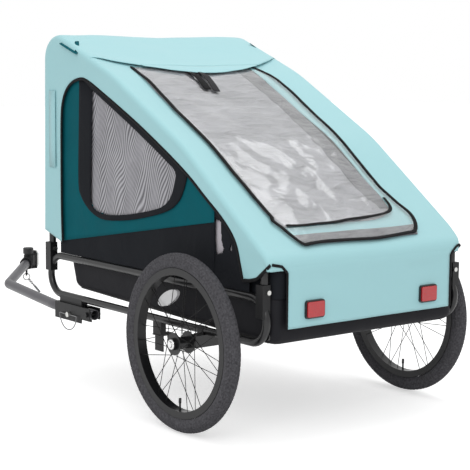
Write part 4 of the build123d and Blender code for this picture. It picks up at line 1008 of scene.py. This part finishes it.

# %% [markdown]
# ## Seat and harness
# The seat and its back are padded cloth. Each starts as a beveled block, and its large face swells a little
# in the middle and is pinched along a few seams, so it reads as stuffed and not as carved.

# %%
def padded_block(name, centre, half, tilt, material, seams, puff):
    """A pad of this half size. Its large face is the top if it is deeper than high, and the rear if not."""
    bpy.ops.mesh.primitive_cube_add(size=2)
    obj = bpy.context.object
    obj.name = name
    obj.data.name = name
    obj.data.transform(Matrix.Diagonal((*[h / 1000 for h in half], 1)))
    bevel = obj.modifiers.new("edge", "BEVEL")
    bevel.width, bevel.segments = min(half) / 1000 * 0.8, 4
    settle(obj)
    remesh = obj.modifiers.new("even", "REMESH")
    remesh.mode, remesh.voxel_size = "VOXEL", 0.008
    settle(obj)
    for v in obj.data.vertices:
        x, y, z = v.co * 1000
        u, w = x / half[0], (y / half[1] if half[1] > half[2] else z / half[2])
        swell = (1 - u * u) * (1 - w * w) * puff
        pinch = sum(math.exp(-((x - s) / 9) ** 2) for s in seams) * puff * 0.9
        push = (swell + ripple((x, y, z), 60, 1.6, 3.3) - pinch) / 1000
        if half[1] > half[2]:
            v.co.z += push if z > 0 else 0
        else:
            v.co.y -= push if y < 0 else 0
    obj.data.transform(Matrix.Rotation(math.radians(tilt), 4, "X"))
    obj.data.transform(Matrix.Translation(spot(*centre)))
    obj.data.materials.clear()
    obj.data.materials.append(material)
    obj.data.shade_smooth()
    return obj


low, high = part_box("seat_cushion")
centre = ((low.x + high.x) * 500, ((low.y + high.y) / 2 - AXLE_Y) * 1000, (low.z + high.z) * 500 - 4)
half = ((high.x - low.x) * 500, (high.y - low.y) * 500, (high.z - low.z) * 500 - 4)
cushion = padded_block("seat_pad", centre, half, 0, SEAT, (-110, 0, 110), 6)
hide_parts("seat_cushion")
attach(cushion, "chassis")
BACK_LEAN = 5.5
back = padded_block("seat_back_pad", (0, 709, 623), (318, 10, 258), -BACK_LEAN, SEAT,
                    (-212, -106, 0, 106, 212), 4)
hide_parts("seat_back")
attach(back, "chassis")
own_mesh(back)
PLACE_X, SHOULDER_X, LAP_OUT, LAP_IN = 162.5, 62, 130, 22
STRAP_WIDE, STRAP_THICK, STRAP_RUN = 25, 2.2, 430
slant = math.tan(math.radians(BACK_LEAN))
for side, sign in SIDES:
    for k, edge_x in enumerate((-SHOULDER_X, SHOULDER_X)):
        x = sign * PLACE_X + edge_x
        path = [spot(x, 606 + 64 * t / 8, 352.6) for t in range(9)]
        path += [spot(x, 676.5 + STRAP_RUN * t / 40 * slant - 7.5, 356 + STRAP_RUN * t / 40)
                 for t in range(41)]
        strap = band(f"{side}_shoulder_strap_{k}", path, STRAP_WIDE, STRAP_THICK, Vector((0, -1, 0.6)),
                     WEBBING)
        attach(strap, "chassis")
        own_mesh(strap)
    for k, (x0, x1) in enumerate(((-LAP_OUT, -LAP_IN), (LAP_IN, LAP_OUT))):
        path = [spot(sign * PLACE_X + x0 + (x1 - x0) * t / 8, 600, 352.8 + 1.5 * math.sin(math.pi * t / 8))
                for t in range(9)]
        strap = band(f"{side}_lap_strap_{k}", path, STRAP_WIDE, STRAP_THICK, Vector((0, 0, 1)), WEBBING)
        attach(strap, "chassis")
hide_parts("harness_straps")
print("seat done")

# %% [markdown]
# ## Tyres
# Each tyre is a section swept round the axle. The crown and the shoulders carry rows of small staggered
# knobs. The height of the tread is a function of the angle round the wheel and the angle round the section.
# A valve and the bright cap of the quick release finish the wheel.

# %%
TREAD_PITCH = 112                       # knobs round the wheel
KNOB_ROWS = (9, 26, 43, 60)             # grooves between the rows, in degrees from the crown
TREAD_EDGE = 78
SCUFF_RIB = (96, 101)                   # a low rib on the side wall


def tread(turn, lean):
    """Height of the tread, 0 to 1, at a place round the wheel (turns) and round the section (degrees)."""
    side = abs(lean)
    if side > TREAD_EDGE:
        return 0.35 if SCUFF_RIB[0] < side < SCUFF_RIB[1] else 0.0
    row = 0 if side < KNOB_ROWS[0] else 1 + int((side - KNOB_ROWS[0]) / 17)
    phase = (turn * TREAD_PITCH + 0.5 * (row % 2) + side * 0.012) % 1.0
    knob = 1.0 if 0.16 < phase < 0.84 else 0.0
    return knob if min(abs(side - groove) for groove in KNOB_ROWS) > 1.6 else 0.0


WHEEL_X, AXLE_Z = 435, 250
SECTION_OUT = 226.5                     # from the axle to the middle of the tyre's section
CASING, KNOB = 21.6, 1.85
TYRE_SWEEP = 142                        # degrees each way from the crown, to the rim
around, across = 576, 92


def hub_ring(x, radius, angle):
    """A point round the axle, angle from the top."""
    return spot(x, radius * math.sin(angle), AXLE_Z + radius * math.cos(angle))


for side, sign in SIDES:
    verts, faces = [], []
    for i in range(around):
        turn = i / around
        for j in range(across + 1):
            lean = -TYRE_SWEEP + 2 * TYRE_SWEEP * j / across
            r = CASING + KNOB * tread(turn, lean)
            a, b = math.radians(lean), 2 * math.pi * turn
            verts.append(hub_ring(sign * WHEEL_X + r * math.sin(a), SECTION_OUT + r * math.cos(a), b))
    for i in range(around):
        for j in range(across):
            n = (i + 1) % around
            faces.append([i * (across + 1) + j, i * (across + 1) + j + 1, n * (across + 1) + j + 1,
                          n * (across + 1) + j])
    tyre = new_object(f"{side}_treaded_tyre", verts, faces, RUBBER)
    solid = tyre.modifiers.new("wall", "SOLIDIFY")
    solid.thickness, solid.offset = 0.0025, -1.0
    tyre = settle(tyre)
    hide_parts(f"{side}_tyre")
    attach(tyre, f"{side}_wheel")
    path = [spot(sign * WHEEL_X, 4, AXLE_Z - r) for r in (190, 184, 176, 168)]
    stem = band(f"{side}_valve_stem", path, 6, 6, Vector((1, 0, 0)), PLASTIC, steps=12)
    path = [spot(sign * WHEEL_X, 4, AXLE_Z - r) for r in (170, 166, 158, 156)]
    cap = band(f"{side}_valve_cap", path, 8, 8, Vector((1, 0, 0)), PLASTIC, steps=12)
    for piece in (stem, cap):
        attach(piece, f"{side}_wheel")
    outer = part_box(f"{side}_hub")
    face = max(abs(outer[0].x), abs(outer[1].x)) * 1000
    profile = ((14.5, face - 0.5), (14.2, face + 0.8), (12.6, face + 2.0), (10.4, face + 2.6),
               (9.0, face + 2.2), (8.8, face - 0.5))
    rings = [[hub_ring(sign * x, r, 2 * math.pi * k / 48) for k in range(49)] for r, x in profile]
    dome = settle(grid(f"{side}_hub_cap", rings, CHROME, 0))
    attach(dome, f"{side}_wheel")
print("tyres done")

# %% [markdown]
# ## Small sewn details
# A slit sits near each top front corner, where a roll-up panel buttons through, with a dark teal strip along
# it that is painted shade in the slit. A patch of cover cloth is sewn to each front side strip.

# %%
for side, sign in SIDES:
    a = cover_point(ridge.nearest((712, 1086)), sign * 381, 2.0)
    b = cover_point(ridge.nearest((618, 1049)), sign * 377, 3.0)
    c = cover_point(ridge.nearest((672, 1070)), sign * 344, 7.0)
    path = [a.lerp(b, t / 5) for t in range(5)] + [b.lerp(c, t / 5) for t in range(6)]
    # painted shade: the dark teal strip along the slit stands for the shade in it
    slit_shade = band(f"{side}_corner_slit", path, 13, 2.0, Vector((sign * 0.3, -0.3, 0.9)), PANEL)
    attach(slit_shade, "chassis")
    patch_rows = [[spot(sign * (HALF + 2.3), y, z) for z in (682, 760, 840, 922)] for y in (752, 770, 788)]
    patch = settle(grid(f"{side}_sewn_patch", patch_rows, COVER, 0.6, offset=0.0))
    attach(patch, "chassis")

# %% [markdown]
# ## Own meshes
# The hard parts fold on their joints, and cloth follows as best it can. The rear panel and its bindings, the
# hood, the roof, the flap's layers and the trims each get a mesh of their own.

# %%
def named(*starts, ends=()):
    """The pieces whose names start or end like this."""
    return [o for o in bpy.data.objects if o.name.startswith(starts) or o.name.endswith(ends)]


for piece in [rear, *named(ends="_rear_binding")]:
    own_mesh(piece)
trims = named("roll_up_strap_", "flap_edge", "flap_net_b", ends=("_opening_binding", "_corner_slit",
                                                                 "_sewn_patch"))
for piece in [hood, roof, roof_hem, net, fold, strip, clear, *trims]:
    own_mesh(piece)

# %% [markdown]
# ## Light, floor and camera
# The set is a pale floor and a white surround. The key lamp stands high at the left rear, on the camera's
# side, and the top lamp fills from above, so the slope and the roof are the lightest cloth. The surround
# is whiter to the eye than it is as a light, so the background stays white while the object keeps its
# tones. A long lens keeps the wheels close to true ellipses.

# %%
world = bpy.data.worlds.new("surround")
bpy.context.scene.world = world
world.use_nodes = True
sky = world.node_tree.nodes["Background"]
sky.inputs["Color"].default_value = (1, 1, 1, 1)


def seen_directly(tree):
    """1 for rays from the eye, or off metal and through glass, and 0 for the rays that light the object."""
    ray = add_node(tree, "LightPath").outputs
    straight = math_node(tree, "MAXIMUM", ray["Is Camera Ray"], ray["Is Glossy Ray"])
    return math_node(tree, "MAXIMUM", straight, ray["Is Transmission Ray"])


SURROUND_LIGHT, SURROUND_SEEN, FLOOR_SEEN = 0.80, 1.0, 0.52
tree = world.node_tree
fill(tree, sky, {"Strength": spread(tree, seen_directly(tree), SURROUND_LIGHT, SURROUND_SEEN)})


def lamp(name, place, target, size, power):
    data = bpy.data.lights.new(name, "AREA")
    data.shape, data.size, data.energy = "SQUARE", size, power
    obj = bpy.data.objects.new(name, data)
    obj.location = place
    obj.rotation_mode = "QUATERNION"
    obj.rotation_quaternion = (Vector(target) - Vector(place)).to_track_quat("-Z", "Y")
    bpy.context.scene.collection.objects.link(obj)


lamp("key", (-2.7, -3.0, 2.7), (0, -0.3, 0.5), 2.2, 38)
lamp("top", (0.6, -0.4, 3.6), (0, 0, 0.6), 2.4, 27)

floor_paint, tree, shader = new_material("pale_floor")
fill(tree, shader, {"Base Color": (0.80, 0.80, 0.80, 1), "Roughness": 0.9, "Emission Color": (1, 1, 1, 1),
                    "Emission Strength": spread(tree, seen_directly(tree), 0.0, FLOOR_SEEN)})
bpy.ops.mesh.primitive_plane_add(size=40, location=(0, 0, -0.0015))
floor = bpy.context.object
floor.name = "floor"
floor.data.materials.append(floor_paint)
floor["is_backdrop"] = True

camera_data = bpy.data.cameras.new("camera")
camera_data.lens, camera_data.sensor_width = 110.43, 36
camera = bpy.data.objects.new("camera", camera_data)
bpy.context.scene.collection.objects.link(camera)
camera.location = spot(-2754.5, -3142.6, 1045.1)
camera.rotation_mode = "QUATERNION"
look = Vector((0.6186, 0.7756, -0.1255)).normalized()
tip = Quaternion(look, math.radians(-0.46))
camera.rotation_quaternion = tip @ look.to_track_quat("-Z", "Y")
bpy.context.scene.camera = camera
bpy.context.scene.view_settings.view_transform = "Standard"

# %% [markdown]
# ## The box
# The last lines print the box of everything shown, apart from the floor.

# %%
low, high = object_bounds()
print("now", [round(v, 4) for v in (*low, *high)])
